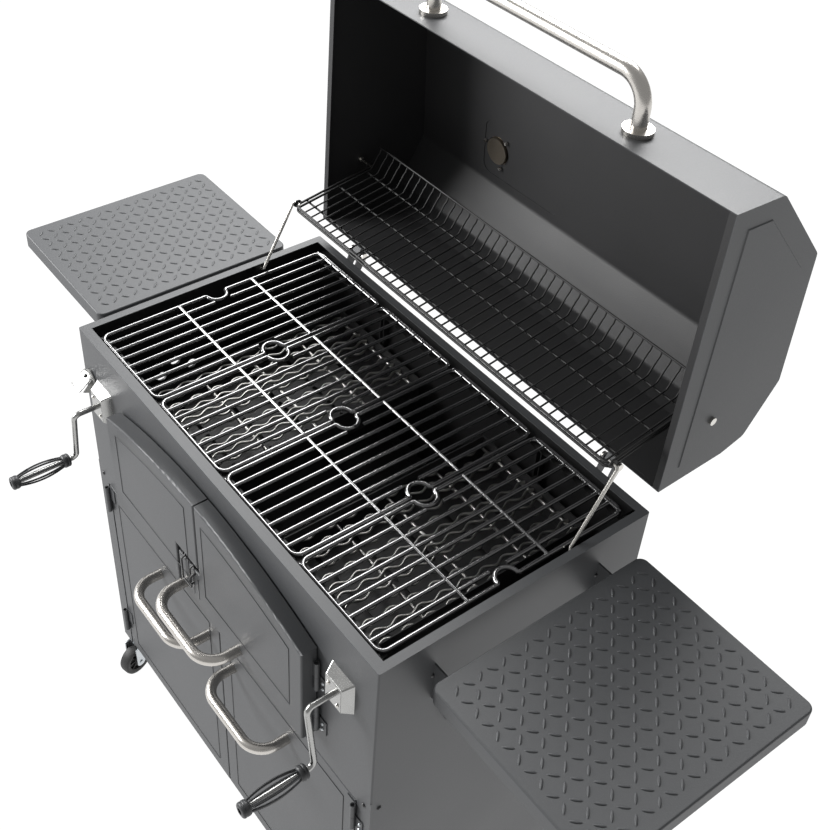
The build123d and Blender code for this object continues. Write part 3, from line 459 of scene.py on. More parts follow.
# ---- geometry node trees
class Grower:
    """Small builder for a geometry node tree with named inputs."""

    def __init__(self, name):
        self.tree = bpy.data.node_groups.new(name, "GeometryNodeTree")
        self.tree.interface.new_socket("Geometry", in_out="OUTPUT", socket_type="NodeSocketGeometry")
        self.start = self.tree.nodes.new("NodeGroupInput")
        self.end = self.tree.nodes.new("NodeGroupOutput")
        self.sockets = {}
        self.asked("Geometry", "Geometry")

    def asked(self, name, kind):
        made = self.tree.interface.new_socket(name, in_out="INPUT", socket_type=f"NodeSocket{kind}")
        self.sockets[name] = made.identifier
        return self.start.outputs[name]

    def node(self, kind, settings=None, values=None, out=0):
        made = self.tree.nodes.new(kind)
        for key, value in (settings or {}).items():
            setattr(made, key, value)
        for key, value in (values or {}).items():
            if isinstance(value, bpy.types.NodeSocket):
                self.tree.links.new(value, made.inputs[key])
            else:
                made.inputs[key].default_value = value
        return made.outputs[out]

    def math(self, operation, *values):
        return self.node("ShaderNodeMath", {"operation": operation}, dict(enumerate(values)))

    def vector(self, **axes):
        return self.node("ShaderNodeCombineXYZ", None, axes)

    def sweep(self, sides, radius):
        """Round wire along the incoming polyline."""
        path = self.node("GeometryNodeMeshToCurve", None, {"Mesh": self.start.outputs["Geometry"]})
        ring = self.node("GeometryNodeCurvePrimitiveCircle", None, {"Resolution": sides, "Radius": radius})
        return self.node("GeometryNodeCurveToMesh", None,
                         {"Curve": path, "Profile Curve": ring, "Fill Caps": True})

    def close(self, geometry):
        real = self.node("GeometryNodeRealizeInstances", None, {"Geometry": geometry})
        painted = self.node("GeometryNodeSetMaterial", None,
                            {"Geometry": real, "Material": self.asked("Material", "Material")})
        self.tree.links.new(painted, self.end.inputs[0])
        return self

    def grow(self, mesh, finish, **inputs):
        """Runs the tree on a mesh and returns the plain mesh that it makes."""
        seed = bpy.data.objects.new("seed", mesh)
        bpy.context.scene.collection.objects.link(seed)
        modifier = seed.modifiers.new(self.tree.name, "NODES")
        modifier.node_group = self.tree
        modifier[self.sockets["Material"]] = FINISH[finish]
        for name, value in inputs.items():
            modifier[self.sockets[name.replace("_", " ").capitalize()]] = value
        view = bpy.context.evaluated_depsgraph_get()
        made = bpy.data.meshes.new_from_object(seed.evaluated_get(view), depsgraph=view)
        seed.modifiers.clear()
        bpy.data.objects.remove(seed)
        bpy.data.meshes.remove(mesh)
        return made


def wire_row_tree():
    """Sweeps a round wire along the polyline and repeats it in even steps."""
    g = Grower("wire_row")
    wire = g.sweep(g.asked("Sides", "Int"), g.asked("Radius", "Float"))
    places = g.node("GeometryNodeMeshLine", {"mode": "OFFSET"},
                    {"Count": g.asked("Count", "Int"), "Offset": g.asked("Step", "Vector")})
    rows = g.node("GeometryNodeInstanceOnPoints", None, {"Points": places, "Instance": wire})
    return g.close(rows)


def tread_tree():
    """Raised lens-shaped marks on a grid, turned left and right by turns."""
    g = Grower("tread_pattern")
    rows = g.asked("Rows", "Int")
    pitch = g.asked("Pitch", "Float")
    spans = []
    for count in (g.asked("Columns", "Int"), rows):
        spans.append(g.math("MULTIPLY", g.math("SUBTRACT", count, 1.0), pitch))
    grid = g.node("GeometryNodeMeshGrid", None,
                  {"Size X": spans[0], "Size Y": spans[1], "Vertices X": g.start.outputs["Columns"],
                   "Vertices Y": rows})
    index = g.node("GeometryNodeInputIndex")
    column = g.math("FLOOR", g.math("DIVIDE", index, rows))
    row = g.math("MODULO", index, rows)
    odd = g.math("MODULO", g.math("ADD", column, row), 2.0)
    spin = g.vector(Z=g.math("MULTIPLY_ADD", odd, pi / 2, -pi / 4))
    ball = g.node("GeometryNodeMeshUVSphere", None, {"Segments": 14, "Rings": 6, "Radius": 0.5})
    size = g.vector(X=g.asked("Length", "Float"), Y=g.asked("Width", "Float"),
                    Z=g.asked("Height", "Float"))
    marks = g.node("GeometryNodeInstanceOnPoints", None,
                   {"Points": grid, "Instance": ball, "Rotation": spin, "Scale": size})
    placed = g.node("GeometryNodeTransform", None,
                    {"Geometry": marks, "Translation": g.asked("Middle", "Vector")})
    return g.close(placed)


def stud_tree():
    """A low head on every vertex, facing along that vertex's `facing` attribute."""
    g = Grower("studs")
    facing = g.node("GeometryNodeInputNamedAttribute", {"data_type": "FLOAT_VECTOR"}, {"Name": "facing"})
    turn = g.node("FunctionNodeAlignRotationToVector", {"axis": "Z"}, {"Vector": facing})
    radius = g.asked("Radius", "Float")
    height = g.asked("Height", "Float")
    crown = g.math("MULTIPLY", radius, g.asked("Crown", "Float"))
    rim = g.node("GeometryNodeMeshCone", {"fill_type": "NGON"},
                 {"Vertices": g.asked("Sides", "Int"), "Radius Top": crown, "Radius Bottom": radius,
                  "Depth": height})
    heads = g.node("GeometryNodeInstanceOnPoints", None,
                   {"Points": g.start.outputs["Geometry"], "Instance": rim, "Rotation": turn})
    return g.close(heads)


def cage_tree():
    """Repeats a wire round the Y axis through `Middle`."""
    g = Grower("cage")
    count = g.asked("Count", "Int")
    middle = g.asked("Middle", "Vector")
    back_off = g.node("ShaderNodeVectorMath", {"operation": "SCALE"}, {0: middle, "Scale": -1.0})
    wire = g.sweep(10, g.asked("Radius", "Float"))
    centred = g.node("GeometryNodeTransform", None, {"Geometry": wire, "Translation": back_off})
    points = g.node("GeometryNodePoints", None, {"Count": count})
    turn = g.math("MULTIPLY", g.node("GeometryNodeInputIndex"), g.math("DIVIDE", tau, count))
    spin = g.vector(Y=turn)
    bars = g.node("GeometryNodeInstanceOnPoints", None,
                  {"Points": points, "Instance": centred, "Rotation": spin})
    placed = g.node("GeometryNodeTransform", None, {"Geometry": bars, "Translation": middle})
    return g.close(placed)


TREES = {}


def wires(points, radius, finish, count=1, step=(0, 0, 0), closed=False, sides=10):
    """Round wire through the points, repeated `count` times."""
    return TREES["wire_row"].grow(polyline(points, closed), finish, Sides=sides, Radius=radius, Count=count,
                                  Step=tuple(step))


def rods(start, end, radius, finish, **rows):
    """Straight round bar between two points, or an even row of them."""
    return wires([Vector(start), Vector(end)], radius, finish, **rows)


def studs(places, radius, height, finish, sides=16, crown=0.62):
    """Heads at (point, outward direction) pairs."""
    mesh = mesh_from([p for p, _ in places])
    facing = mesh.attributes.new("facing", "FLOAT_VECTOR", "POINT")
    facing.data.foreach_set("vector", [c for _, d in places for c in Vector(d).normalized()])
    return TREES["studs"].grow(mesh, finish, Sides=sides, Radius=radius, Height=height, Crown=crown)


def arc(centre, start, end, across, outward, steps):
    """Points of a circular arc about `centre`: radii `across` and `outward` span its plane."""
    turns = [start + (end - start) * i / steps for i in range(steps + 1)]
    return [centre + across * cos(t) + outward * sin(t) for t in turns]


# ---- cooking grates
GRATE_TOP = 12.0                                # rod centre line below the rim, in millimetres


def grate_frame(low, high, radius, loop, corner=15 * MM, dip=7 * MM):
    """Closed outline of a grate's frame, with a half loop into each long side."""
    z = (low.z + high.z) / 2
    y0, y1 = low.y + radius, high.y - radius
    middle = (y0 + y1) / 2
    bends = [(0, loop + dip), (0.5 * MM, loop + dip * 0.35)]    # where the rod leaves the side for the loop
    points = []
    for side, x, start, stop in ((1, high.x - radius, y0, y1), (-1, low.x + radius, y1, y0)):
        across, forward = X * side, Y * side
        inset = x - side * corner
        points += arc(Vector((inset, start + side * corner, z)), -pi / 2, 0, across * corner,
                      forward * corner, 6)
        points += [Vector((x + side * out, middle - side * along, z)) for out, along in bends]
        points += arc(Vector((x - side * 2 * MM, middle, z)), -pi / 2, -3 * pi / 2, across * loop,
                      forward * loop, 14)
        points += [Vector((x + side * out, middle + side * along, z)) for out, along in reversed(bends)]
        points += arc(Vector((inset, stop - side * corner, z)), 0, pi / 2, across * corner,
                      forward * corner, 6)
    return points


class GRILL_OT_cooking_grates(bpy.types.Operator):
    """Four enamelled wire cooking grates with finger loops"""
    bl_idname = "grill.cooking_grates"
    bl_label = "Cooking grates"

    def execute(self, context):
        size = context.scene.grill_grates
        for number in range(1, 5):
            node = f"cooking_grate_{number}"
            low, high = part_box(node)
            radius, bar, loop = size.frame_radius, size.bar_radius, size.loop_radius
            low.z = high.z = RIM - GRATE_TOP * MM
            parts = [wires(grate_frame(low, high, radius, loop), radius, "porcelain", closed=True)]
            pitch = (high.x - low.x - 2 * radius) / (size.bars + 1)
            z = low.z + 0.4 * MM
            y0, y1 = low.y + 1.2 * radius, high.y - 1.2 * radius
            middle = (low.y + high.y) / 2
            gap = 0.72 * (loop + 4 * MM)             # from mid depth to a cut bar's end, beside the loop
            x0, x1 = low.x + radius, high.x - radius
            for x in (x0 + pitch, x1 - pitch):
                for a, b in ((y0, middle - gap), (middle + gap, y1)):
                    parts.append(rods((x, a, z), (x, b, z), bar, "porcelain"))
            second = x0 + 2 * pitch
            parts.append(rods((second, y0, z), (second, y1, z), bar, "porcelain",
                              count=size.bars - 2, step=(pitch, 0, 0)))
            span = (y1 - y0) / 3
            for y, up, thick, count in ((y0, -5.4, 2.6, 1), (y0 + span, 1.2, 3.0, 2),
                                        (y1 - 3 * MM, 0.8, 2.8, 1)):
                parts.append(rods((x0, y, z + up * MM), (x1, y, z + up * MM), thick * MM, "porcelain",
                                  count=count, step=(0, span, 0)))
            add_piece(f"wire_cooking_grate_{number}", parts, "porcelain", node, "porcelain", [node], 60)
        return {"FINISHED"}


# ---- charcoal grates
class GRILL_OT_charcoal_grates(bpy.types.Operator):
    """Wavy bars welded on cross rods, one grate in each charcoal tray"""
    bl_idname = "grill.charcoal_grates"
    bl_label = "Charcoal grates"

    def execute(self, context):
        size = context.scene.grill_grates
        for _, hand in SIDES:
            node = f"charcoal_grate_{hand}"
            low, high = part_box(node)
            rod, wire = 3.0 * MM, 2.3 * MM           # radii of a cross rod and of a wavy bar
            base = low.z + rod
            top = base + rod + wire
            y0, y1 = low.y + 1 * MM, high.y - 1 * MM
            steps = 120
            margin = size.wave_height + wire
            pitch = (high.x - low.x - 2 * margin) / (size.wave_bars - 1)
            waves = (y1 - y0) / size.wave_length
            wave = [Vector((low.x + margin + size.wave_height * sin(tau * waves * i / steps),
                            y0 + (y1 - y0) * i / steps, top)) for i in range(steps + 1)]
            parts = [wires(wave, wire, "grate_wire", count=size.wave_bars, step=(pitch, 0, 0), sides=8)]
            cross = (y1 - y0 - 2 * rod) / 4
            parts.append(rods((low.x, y0 + rod, base), (high.x, y0 + rod, base), rod, "grate_wire",
                              count=5, step=(0, cross, 0)))
            add_piece(f"wavy_charcoal_grate_{hand}", parts, "grate_wire", f"charcoal_tray_{hand}",
                      "grate_wire", [node], 60)
        return {"FINISHED"}


# ---- warming rack
class GRILL_OT_warming_rack(bpy.types.Operator):
    """Wire rack inside the hood, with its rear wires turned up as a stop"""
    bl_idname = "grill.warming_rack"
    bl_label = "Warming rack"

    def execute(self, context):
        size = context.scene.grill_rack
        low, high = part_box("warming_rack")
        leg_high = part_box("rack_leg_right")[1]
        pivot = Vector(JOINTS["rack_pivot"]["pos_m"])
        leg_top = Vector((0, leg_high.y - 3 * MM, leg_high.z - 3 * MM))
        slope = (pivot.z - leg_top.z) / (pivot.y - leg_top.y)

        def level(y):
            return leg_top.z + slope * (y - leg_top.y)

        front = leg_top.y - 6 * MM
        rear = pivot.y - 4 * MM
        half = (high.x - low.x) / 2 - 4 * MM
        wire = size.wire_radius
        pitch = 2 * (half - 8 * MM) / (size.wires - 1)
        x = -half + 8 * MM
        stop = rear + 22 * MM                        # top of the turned-up rear wires
        bend = [(front - 2 * MM, 0), (rear - 4 * MM, 0), (rear, 1), (rear + 15 * MM, 22),
                (rear + 19 * MM, 25), (stop, 33)]
        parts = [wires([Vector((x, y, level(y) + up * MM)) for y, up in bend], wire, "black_wire",
                       count=size.wires, step=(pitch, 0, 0), sides=8)]
        for y, up in ((front + 26 * MM, -3.6), (front + 94 * MM, -3.6), (rear - 8 * MM, -3.6), (stop, 34.5)):
            z = level(y) + up * MM
            parts.append(rods((-half, y, z), (half, y, z), 2.0 * MM, "black_wire", sides=8))
        corner = 10 * MM
        for up in (0, -7.5):
            hoop = [Vector((half, rear + 10 * MM, 0))]
            for x, start in ((half - corner, 0), (-half + corner, -pi / 2)):
                hoop += arc(Vector((x, front + corner, 0)), start, start - pi / 2, X * corner, Y * corner, 6)
            hoop.append(Vector((-half, rear + 10 * MM, 0)))
            parts.append(wires([Vector((p.x, p.y, level(p.y) + up * MM)) for p in hoop], 2.3 * MM,
                               "black_wire"))
        for side, _ in SIDES:
            for spot in (leg_top, Vector((0, pivot.y, pivot.z))):
                tab = arc(Vector((side * (half + 1.8 * MM), spot.y, spot.z)), 0, tau * 15 / 16,
                          Y * (9 * MM), Z * (7.2 * MM), 15)
                parts.append(prism(tab, X * side, 2.2 * MM, 0.4 * MM))
        add_piece("wire_warming_rack", parts, "black_wire", "warming_rack", "black_wire", ["warming_rack"],
                  60)
        return {"FINISHED"}


# ---- crank grips and their lock
GRIP_COLLAR = ((5.3, 0), (8.5, 0), (10.8, 0.8), (12.2, 2.4), (12.4, 5), (11.6, 6.2), (12.4, 7.4), (12.4, 11),
               (11.6, 13.4), (9.8, 15), (7.5, 15.6), (5.3, 15.6))      # radius and distance from the end


class GRILL_OT_crank_grips(bpy.types.Operator):
    """Turning grips: a cage of bowed bars between two ribbed collars"""
    bl_idname = "grill.crank_grips"
    bl_label = "Crank grips"

    def execute(self, context):
        for _, hand in SIDES:
            node = f"crank_grip_{hand}"
            low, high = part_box(node)
            spindle = Vector(JOINTS[f"crank_grip_{hand}_spin"]["pos_m"])
            middle = Vector((spindle.x, (low.y + high.y) / 2, spindle.z))
            half = (high.y - low.y) / 2
            inner = half - 12 * MM                   # the cage's bars end inside the collars
            steps = 24
            bow = []
            for i in range(steps + 1):
                along = -inner + 2 * inner * i / steps
                out = 8.2 * MM + 6.0 * MM * (1 - (along / inner) ** 2)
                bow.append(middle + Vector((0, along, out)))
            parts = [TREES["cage"].grow(polyline(bow), "grip_black", Count=8, Radius=1.75 * MM,
                                        Middle=tuple(middle))]
            for end in (-1, 1):
                base = axis_frame(Vector((middle.x, middle.y + end * half, middle.z)), (0, -end, 0))
                parts.append(lathe(GRIP_COLLAR, base, 40))
            add_piece(f"cage_{node}", parts, "grip_black", node, "grip_black", [node], 40)
            tip = Vector((middle.x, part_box(f"crank_{hand}")[0].y, middle.z))
            tip.y += 5 * MM
            nut = studs([(tip, -Y)], 7.6 * MM, 5 * MM, "grip_black", 6, 0.86)
            add_piece(f"crank_end_nut_{hand}", [nut], "grip_black", f"crank_{hand}", "grip_black")
        return {"FINISHED"}


class GRILL_OT_crank_lock(bpy.types.Operator):
    """Chrome height lock beside the left crank: a rounded pad and a tipped lever plate"""
    bl_idname = "grill.crank_lock"
    bl_label = "Crank lock"

    def execute(self, context):
        pad = arc(at(-411, 0, -96), 0, tau * 23 / 24, X * (17 * MM), Z * (20 * MM), 23)
        tipped = (0, -0.6, 0.8)                      # the way the lever plate faces
        lever = [at(x, back, up) for x, back, up in ((-431, -3, -87), (-400, -3, -87), (-400, -31, -108),
                                                     (-431, -31, -108))]
        cheek = [at(-403, back, up) for back, up in ((-3, -90), (-3, -122), (-24, -112))]
        parts = [prism(pad, -Y, 4 * MM, 1.2 * MM), prism(lever, tipped, 2.5 * MM, 0.8 * MM),
                 prism(cheek, X, 2.5 * MM, 0.6 * MM)]
        add_piece("crank_lock_left", parts, "chrome", "root", "chrome")
        screw = studs([(at(-416, -10.5, -88), tipped)], 4.2 * MM, 2.6 * MM, "black_latch")
        add_piece("crank_lock_screw", [screw], "black_latch", "root", "black_latch")
        return {"FINISHED"}


# ---- shelves
class GRILL_OT_shelf_treads(bpy.types.Operator):
    """Raised anti-slip marks pressed in the side shelves"""
    bl_idname = "grill.shelf_treads"
    bl_label = "Shelf treads"

    def execute(self, context):
        size = context.scene.grill_treads
        for _, hand in SIDES:
            low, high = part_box(f"side_shelf_{hand}")
            columns, rows = (int((span - 14 * MM) / size.pitch) for span in (high.x - low.x, high.y - low.y))
            middle = ((low.x + high.x) / 2, (low.y + high.y) / 2, high.z)
            marks = TREES["treads"].grow(mesh_from([]), "shelf_coat", Rows=rows, Columns=columns,
                                         Pitch=size.pitch, Length=size.length, Width=size.width,
                                         Height=2 * size.height, Middle=middle)
            add_piece(f"shelf_tread_{hand}", [marks], "shelf_coat", "root", "powder_coat",
                      smooth_angle=60)
        return {"FINISHED"}


# ---- doors
ARCH_CROWN, ARCH_FOOT, ARCH_HALF = 78, 118, 300  # pressed arch: top and foot below the rim, half span
LINE_OUTER, LINE_FOOT = 268, 246                # pressed line: distance from the middle, foot below the rim


def door_line(name, outline, face, door):
    """Pressed line along a closed outline on a door's front face, as a thin wire whose dark colour is painted
    shade of the furrow.
    """
    furrow = [Vector((x, face + 0.25 * MM, z)) for x, z in outline]
    line = wires(furrow, 1.15 * MM, "seam", closed=True, sides=8)
    add_piece(name, [line], "seam", door, "powder_coat", smooth_angle=60)


def rectangle(x0, x1, z0, z1, cut):
    """Corner points of a rectangle with cut corners, in x and z."""
    return [(x0 + cut, z0), (x1 - cut, z0), (x1, z0 + cut), (x1, z1 - cut), (x1 - cut, z1), (x0 + cut, z1),
            (x0, z1 - cut), (x0, z0 + cut)]


class GRILL_OT_door_beads(bpy.types.Operator):
    """Pressed lines that frame each door's panel"""
    bl_idname = "grill.door_beads"
    bl_label = "Door beads"

    def execute(self, context):
        for side, hand in SIDES:
            outer = side * LINE_OUTER
            inner = side * (32 if side < 0 else 20)      # the left door's line starts farther out
            steps = 14
            points = []
            for i in range(steps + 1):
                x = inner + (outer - inner) * i / steps
                down = ARCH_FOOT - (ARCH_FOOT - ARCH_CROWN) * (1 - (x / ARCH_HALF) ** 2)
                points.append((x, down))
            points += [(outer, LINE_FOOT), (inner, LINE_FOOT)]
            door = f"charcoal_door_{hand}"
            door_line(f"charcoal_door_bead_{hand}", [(x * MM, RIM - down * MM) for x, down in points],
                      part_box(door)[0].y, door)
            door = f"cabinet_door_{hand}"
            low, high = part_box(door)
            x0, x1 = sorted((side * 34 * MM, side * 372 * MM))
            door_line(f"cabinet_door_bead_{hand}",
                      rectangle(x0, x1, low.z + 30 * MM, high.z - 29 * MM, 1.5 * MM), FRONT, door)
        return {"FINISHED"}


class GRILL_OT_latch(bpy.types.Operator):
    """Hook and rivets of the charcoal doors' latch"""
    bl_idname = "grill.latch"
    bl_label = "Latch details"

    def execute(self, context):
        door = "charcoal_door_right"
        head_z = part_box("latch_bracket")[0].z + 2.6 * MM
        heads = [(Vector((x * MM, FRONT + back * MM, head_z)), Z)
                 for x in (-38, -22) for back in (-21.5, -13.5)]
        rivets = studs(heads, 2.6 * MM, 1.8 * MM, "zinc", 14)
        add_piece("latch_rivets", [rivets], "zinc", door, "black_latch")
        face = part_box(door)[0].y

        def on_face(x, out, down):
            return Vector((x * MM, face - out * MM, RIM - down * MM))

        hook = [on_face(-10, out, down) for out, down in ((0, 216), (8, 218), (12, 226), (9, 236), (4, 234))]
        parts = [wires(hook, 2.2 * MM, "black_latch")]
        # painted shade: the two slots are drawn as dark bars in the latch's black finish
        for x in (-18.5, -3.0):                      # two slots beside the hook
            parts.append(slab(on_face(x - 1.1, 0.6, 274), on_face(x + 1.1, -0.5, 226), 0.2 * MM))
        add_piece("latch_hook", parts, "black_latch", door, "black_latch", smooth_angle=50)
        return {"FINISHED"}


# ---- fasteners
CRANK_PLATE = (362, -118)                       # middle of a crank's plate: from the middle, above the rim
CASTER_PLATE = (414, (27, 483), -858.4)         # from the middle, behind the front (two), above the rim
HINGE_SCREWS = (9, 23)                          # a door hinge's screws above its lower end


class GRILL_OT_fasteners(bpy.types.Operator):
    """Screws, rivets and bolts that hold the sheet metal together"""
    bl_idname = "grill.fasteners"
    bl_label = "Fasteners"

    def execute(self, context):
        proud = 0.6                                  # a head's middle stands this far off its face
        panel, hinge, plate, feet = [], [], [], []
        for side, _ in SIDES:
            wall, out = side * (HALF_WIDTH + proud), X * side
            for back in (16, 494):
                panel += [(at(wall, back, up), out) for up in (-345, -560, -790)]
            panel += [(at(wall, back, -78), out) for back in (98, 413)]
            panel += [(at(side * 423, -proud, up), -Y) for up in (-345, -820)]
            for x in (328, 346):
                hinge += [(at(side * x, 513 + proud, up), Y) for up in (-32, -16)]
            for x, foot in ((316, -184), (316, -286), (418, -430), (418, -800)):
                hinge += [(at(side * x, -2 - proud, foot + rise), -Y) for rise in HINGE_SCREWS]
            x, up = CRANK_PLATE
            plate += [(at(side * x + dx, -18.4, up + dz), -Y) for dx, dz in ((-11, 14), (11, -15))]
            x, backs, up = CASTER_PLATE
            feet += [(at(side * x + dx, back + dy, up), -Z)
                     for back in backs for dx in (-19, 19) for dy in (-19, 19)]
        panel += [(at(x, 2 * HALF_DEPTH + proud, up), Y)
                  for x in (-424, -140, 140, 424) for up in (-345, -600, -835)]
        for name, finish, heads in (
                ("panel_screws", "black_latch", studs(panel, 4.4 * MM, 2.2 * MM, "black_latch")),
                ("hinge_screws", "zinc", studs(hinge, 3.0 * MM, 1.8 * MM, "zinc")),
                ("crank_plate_screws", "bright_steel", studs(plate, 3.4 * MM, 2.0 * MM, "bright_steel")),
                ("caster_bolts", "zinc", studs(feet, 3.2 * MM, 2.4 * MM, "zinc", 6, 0.9))):
            add_piece(name, [heads], finish, "root", finish)
        return {"FINISHED"}


# ---- gauge
class GRILL_OT_gauge(bpy.types.Operator):
    """Dial marks and the three screws that hold the gauge from inside the hood"""
    bl_idname = "grill.gauge"
    bl_label = "Gauge details"

    def execute(self, context):
        joint = JOINTS["gauge_needle_turn"]
        out = Vector(joint["axis"]).normalized()
        centre = Vector(joint["pos_m"])
        upward = out.cross(X)

        def ray(degrees):
            return X * sin(radians(degrees)) + upward * cos(radians(degrees))

        dial = centre - out * 3.0 * MM
        rim = 31 * MM                                # outer radius of the dial's marks
        ticks = []
        for k in range(25):
            toward = ray(-120 + 10 * k)
            side = out.cross(toward).normalized()
            length, half = (6.5, 0.8) if k % 4 == 0 else (3.5, 0.45)
            a, b = dial + toward * (rim - length * MM), dial + toward * rim
            w = side * half * MM
            ticks.append(prism([a - w, b - w, b + w, a + w], out, 0.5 * MM))
        add_piece("gauge_marks", ticks, "dial_paint", "hood", "gauge_metal")
        inside = centre - out * 10.2 * MM
        screws = studs([(inside + ray(degrees) * 34 * MM, -out) for degrees in (20, 140, 260)],
                       4.2 * MM, 3.4 * MM, "bright_steel", 16, 0.7)
        add_piece("gauge_screws", [screws], "bright_steel", "hood", "bright_steel")
        return {"FINISHED"}


# ---- wheels
WHEEL_TREAD = ((25.5, -9.5), (29, -11.2), (33.5, -11.8), (36.2, -10.4), (37.5, -6.5), (37.5, 6.5),
               (36.2, 10.4), (33.5, 11.8), (29, 11.2), (25.5, 9.5))    # radius and distance from the middle
WHEEL_HUB = ((4.3, -11.6), (9.5, -11.6), (10.8, -10.2), (11.2, -5), (24, -4.2), (25.6, -8.6), (26.2, -8.6),
             (26.2, 8.6), (25.6, 8.6), (24, 4.2), (11.2, 5), (10.8, 10.2), (9.5, 11.6), (4.3, 11.6))


class GRILL_OT_wheels(bpy.types.Operator):
    """Rubber-treaded wheels with a spoked web and a hub cap"""
    bl_idname = "grill.wheels"
    bl_label = "Wheels"

    def execute(self, context):
        for corner in ("front_left", "front_right", "back_left", "back_right"):
            joint = JOINTS[f"wheel_{corner}_spin"]
            base = axis_frame(Vector(joint["pos_m"]), joint["axis"])
            node = f"wheel_{corner}"
            parts = [lathe(profile, base, 56) for profile in (WHEEL_TREAD, WHEEL_HUB)]
            for k in range(8):
                spin = base @ Matrix.Rotation(tau * k / 8, 4, "Z")
                rib = [spin @ (Vector((10.5, y, z)) * MM) for y, z in ((-1, -8), (1, -8), (1, 8), (-1, 8))]
                parts.append(prism(rib, spin @ X - spin.translation, 14.6 * MM))
            add_piece(f"treaded_{node}", parts, "tyre", node, "tyre", [node], 40)
        return {"FINISHED"}


# ---- finishes on the carried-over parts
NODE_FINISH = {                                 # parts whose finish is not simply their material slot's
    "side_shelf_left": "shelf_coat", "side_shelf_right": "shelf_coat",
    "fire_box": "box_coat", "hood": "hood_coat",
    "charcoal_tray_left": "tray_steel", "charcoal_tray_right": "tray_steel", "ash_pans": "tray_steel",
    "grate_ledges": "inside", "tray_guides": "inside",
}


class GRILL_OT_cad_finishes(bpy.types.Operator):
    """Gives every carried-over part its finish"""
    bl_idname = "grill.cad_finishes"
    bl_label = "Part finishes"

    def execute(self, context):
        for part in frame["record"]["subparts"]:
            name = part["node"]
            mesh = frame["nodes"][name].data
            mesh.materials.clear()
            mesh.materials.append(FINISH[NODE_FINISH.get(name, part["material_slot"])])
        return {"FINISHED"}


# ---- stage
CAMERA_TURN, CAMERA_RISE, CAMERA_ROLL = radians(51.703), radians(40.206), radians(2.767)
CAMERA_PLACE = Vector((1.184, FRONT - 0.617, RIM + 1.357))
CAMERA_LENS, CAMERA_SHIFT = 53.29, (0.0461, -0.0651)
FLOOR_HALF = 14.0
WHITE = (1, 1, 1, 1)


def area_light(name, place, aim, size, power):
    data = bpy.data.lights.new(name, "AREA")
    data.shape = "RECTANGLE"
    data.size, data.size_y = size
    data.energy = power
    lamp = bpy.data.objects.new(name, data)
    lamp.location = place
    lamp.rotation_mode = "QUATERNION"
    lamp.rotation_quaternion = (Vector(aim) - Vector(place)).to_track_quat("-Z", "Y")
    bpy.context.scene.collection.objects.link(lamp)


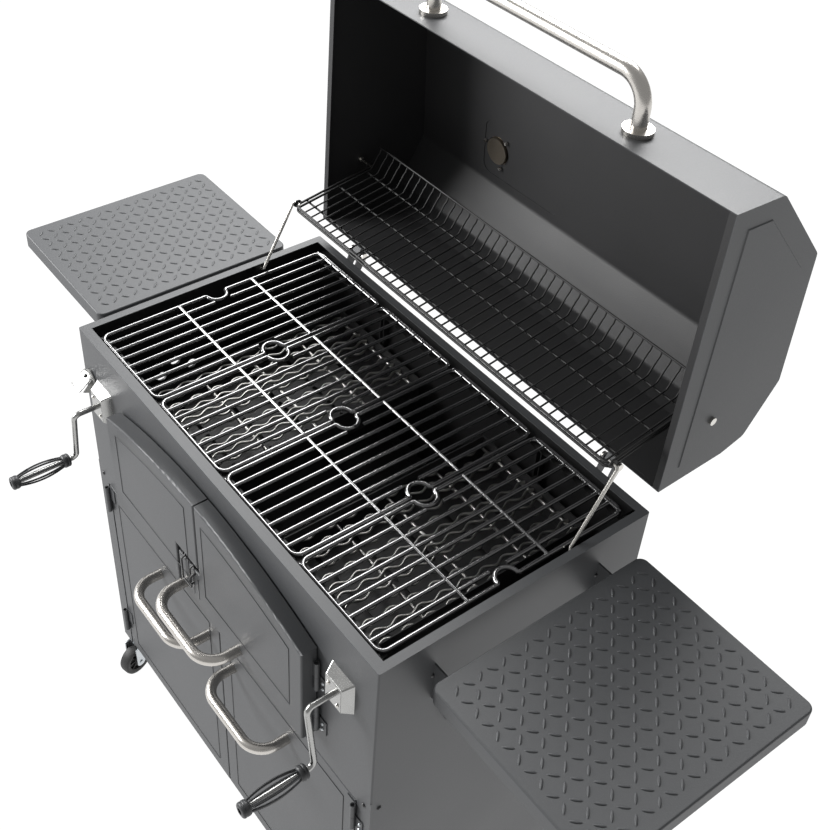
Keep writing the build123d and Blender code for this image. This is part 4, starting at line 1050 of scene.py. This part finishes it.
class GRILL_OT_stage(bpy.types.Operator):
    """Pale floor, soft studio light and the camera"""
    bl_idname = "grill.stage"
    bl_label = "Stage"

    def execute(self, context):
        scene = context.scene
        corners = ((-1, -1), (1, -1), (1, 1), (-1, 1))
        mesh = mesh_from([(x * FLOOR_HALF, y * FLOOR_HALF, 0) for x, y in corners], [(0, 1, 2, 3)])
        floor = bpy.data.objects.new("floor", mesh)
        scene.collection.objects.link(floor)
        sheet = Sheet("floor_paper")
        mesh.materials.append(sheet.surface(Base_Color=(0.02, 0.02, 0.02, 1), Roughness=1.0,
                                            Emission_Color=WHITE, Emission_Strength=1.0))
        floor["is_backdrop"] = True
        world = bpy.data.worlds.new("studio")
        world.use_nodes = True
        sky = world.node_tree.nodes["Background"].inputs
        sky["Color"].default_value = WHITE
        sky["Strength"].default_value = 0.35
        scene.world = world
        area_light("overhead", (-1.6, 1.7, 3.3), aim=(0, 0, 0.9), size=(3.0, 1.6), power=200)
        area_light("front_left", (-2.8, -2.4, 2.4), aim=(0, 0, 0.7), size=(2.2, 1.8), power=240)
        scene.view_settings.view_transform = "Standard"
        data = bpy.data.cameras.new("camera")
        camera = bpy.data.objects.new("camera", data)
        scene.collection.objects.link(camera)
        flat = cos(CAMERA_RISE)
        back = Vector((sin(CAMERA_TURN) * flat, -cos(CAMERA_TURN) * flat, sin(CAMERA_RISE)))
        right = Vector((cos(CAMERA_TURN), sin(CAMERA_TURN), 0))
        up = back.cross(right)
        across = right * cos(CAMERA_ROLL) + up * sin(CAMERA_ROLL)
        upward = up * cos(CAMERA_ROLL) - right * sin(CAMERA_ROLL)
        place = Matrix((across, upward, back)).transposed().to_4x4()
        place.translation = CAMERA_PLACE
        camera.matrix_world = place
        data.sensor_width = 36.0
        data.lens = CAMERA_LENS
        data.shift_x, data.shift_y = CAMERA_SHIFT
        scene.camera = camera
        return {"FINISHED"}


# ---- panel and registration
class GRILL_PT_sidebar(bpy.types.Panel):
    """Lists the grill's settings and build steps"""
    bl_idname = "GRILL_PT_sidebar"
    bl_label = "Charcoal grill"
    bl_space_type = "VIEW_3D"
    bl_region_type = "UI"
    bl_category = "Grill"

    def draw(self, context):
        for group in (context.scene.grill_grates, context.scene.grill_rack, context.scene.grill_treads,
                      context.scene.grill_finish):
            box = self.layout.box()
            for key in group.__annotations__:
                box.prop(group, key)
        for operator in OPERATORS:
            self.layout.operator(operator.bl_idname)


GROUPS = {
    "grill_grates": GrateSettings,
    "grill_rack": RackSettings,
    "grill_treads": TreadSettings,
    "grill_finish": FinishSettings,
}
OPERATORS = (
    GRILL_OT_cad_finishes, GRILL_OT_cooking_grates, GRILL_OT_charcoal_grates, GRILL_OT_warming_rack,
    GRILL_OT_crank_grips, GRILL_OT_crank_lock, GRILL_OT_shelf_treads, GRILL_OT_door_beads, GRILL_OT_latch,
    GRILL_OT_fasteners, GRILL_OT_gauge, GRILL_OT_wheels, GRILL_OT_stage,
)


def register():
    for group in GROUPS.values():
        bpy.utils.register_class(group)
    for name, group in GROUPS.items():
        setattr(bpy.types.Scene, name, PointerProperty(type=group))
    for operator in OPERATORS:
        bpy.utils.register_class(operator)
    bpy.utils.register_class(GRILL_PT_sidebar)


def unregister():
    bpy.utils.unregister_class(GRILL_PT_sidebar)
    for operator in reversed(OPERATORS):
        bpy.utils.unregister_class(operator)
    for name, group in GROUPS.items():
        delattr(bpy.types.Scene, name)
        bpy.utils.unregister_class(group)


def main():
    register()
    make_finishes(bpy.context.scene.grill_finish)
    TREES.update(wire_row=wire_row_tree(), treads=tread_tree(), studs=stud_tree(), cage=cage_tree())
    for operator in OPERATORS:
        group, name = operator.bl_idname.split(".")
        getattr(getattr(bpy.ops, group), name)()
    boxes = {"cad": cad_box, "visual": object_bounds()}
    {key: [list(corner) for corner in corners] for key, corners in boxes.items()}


if __name__ == "__main__":
    main()
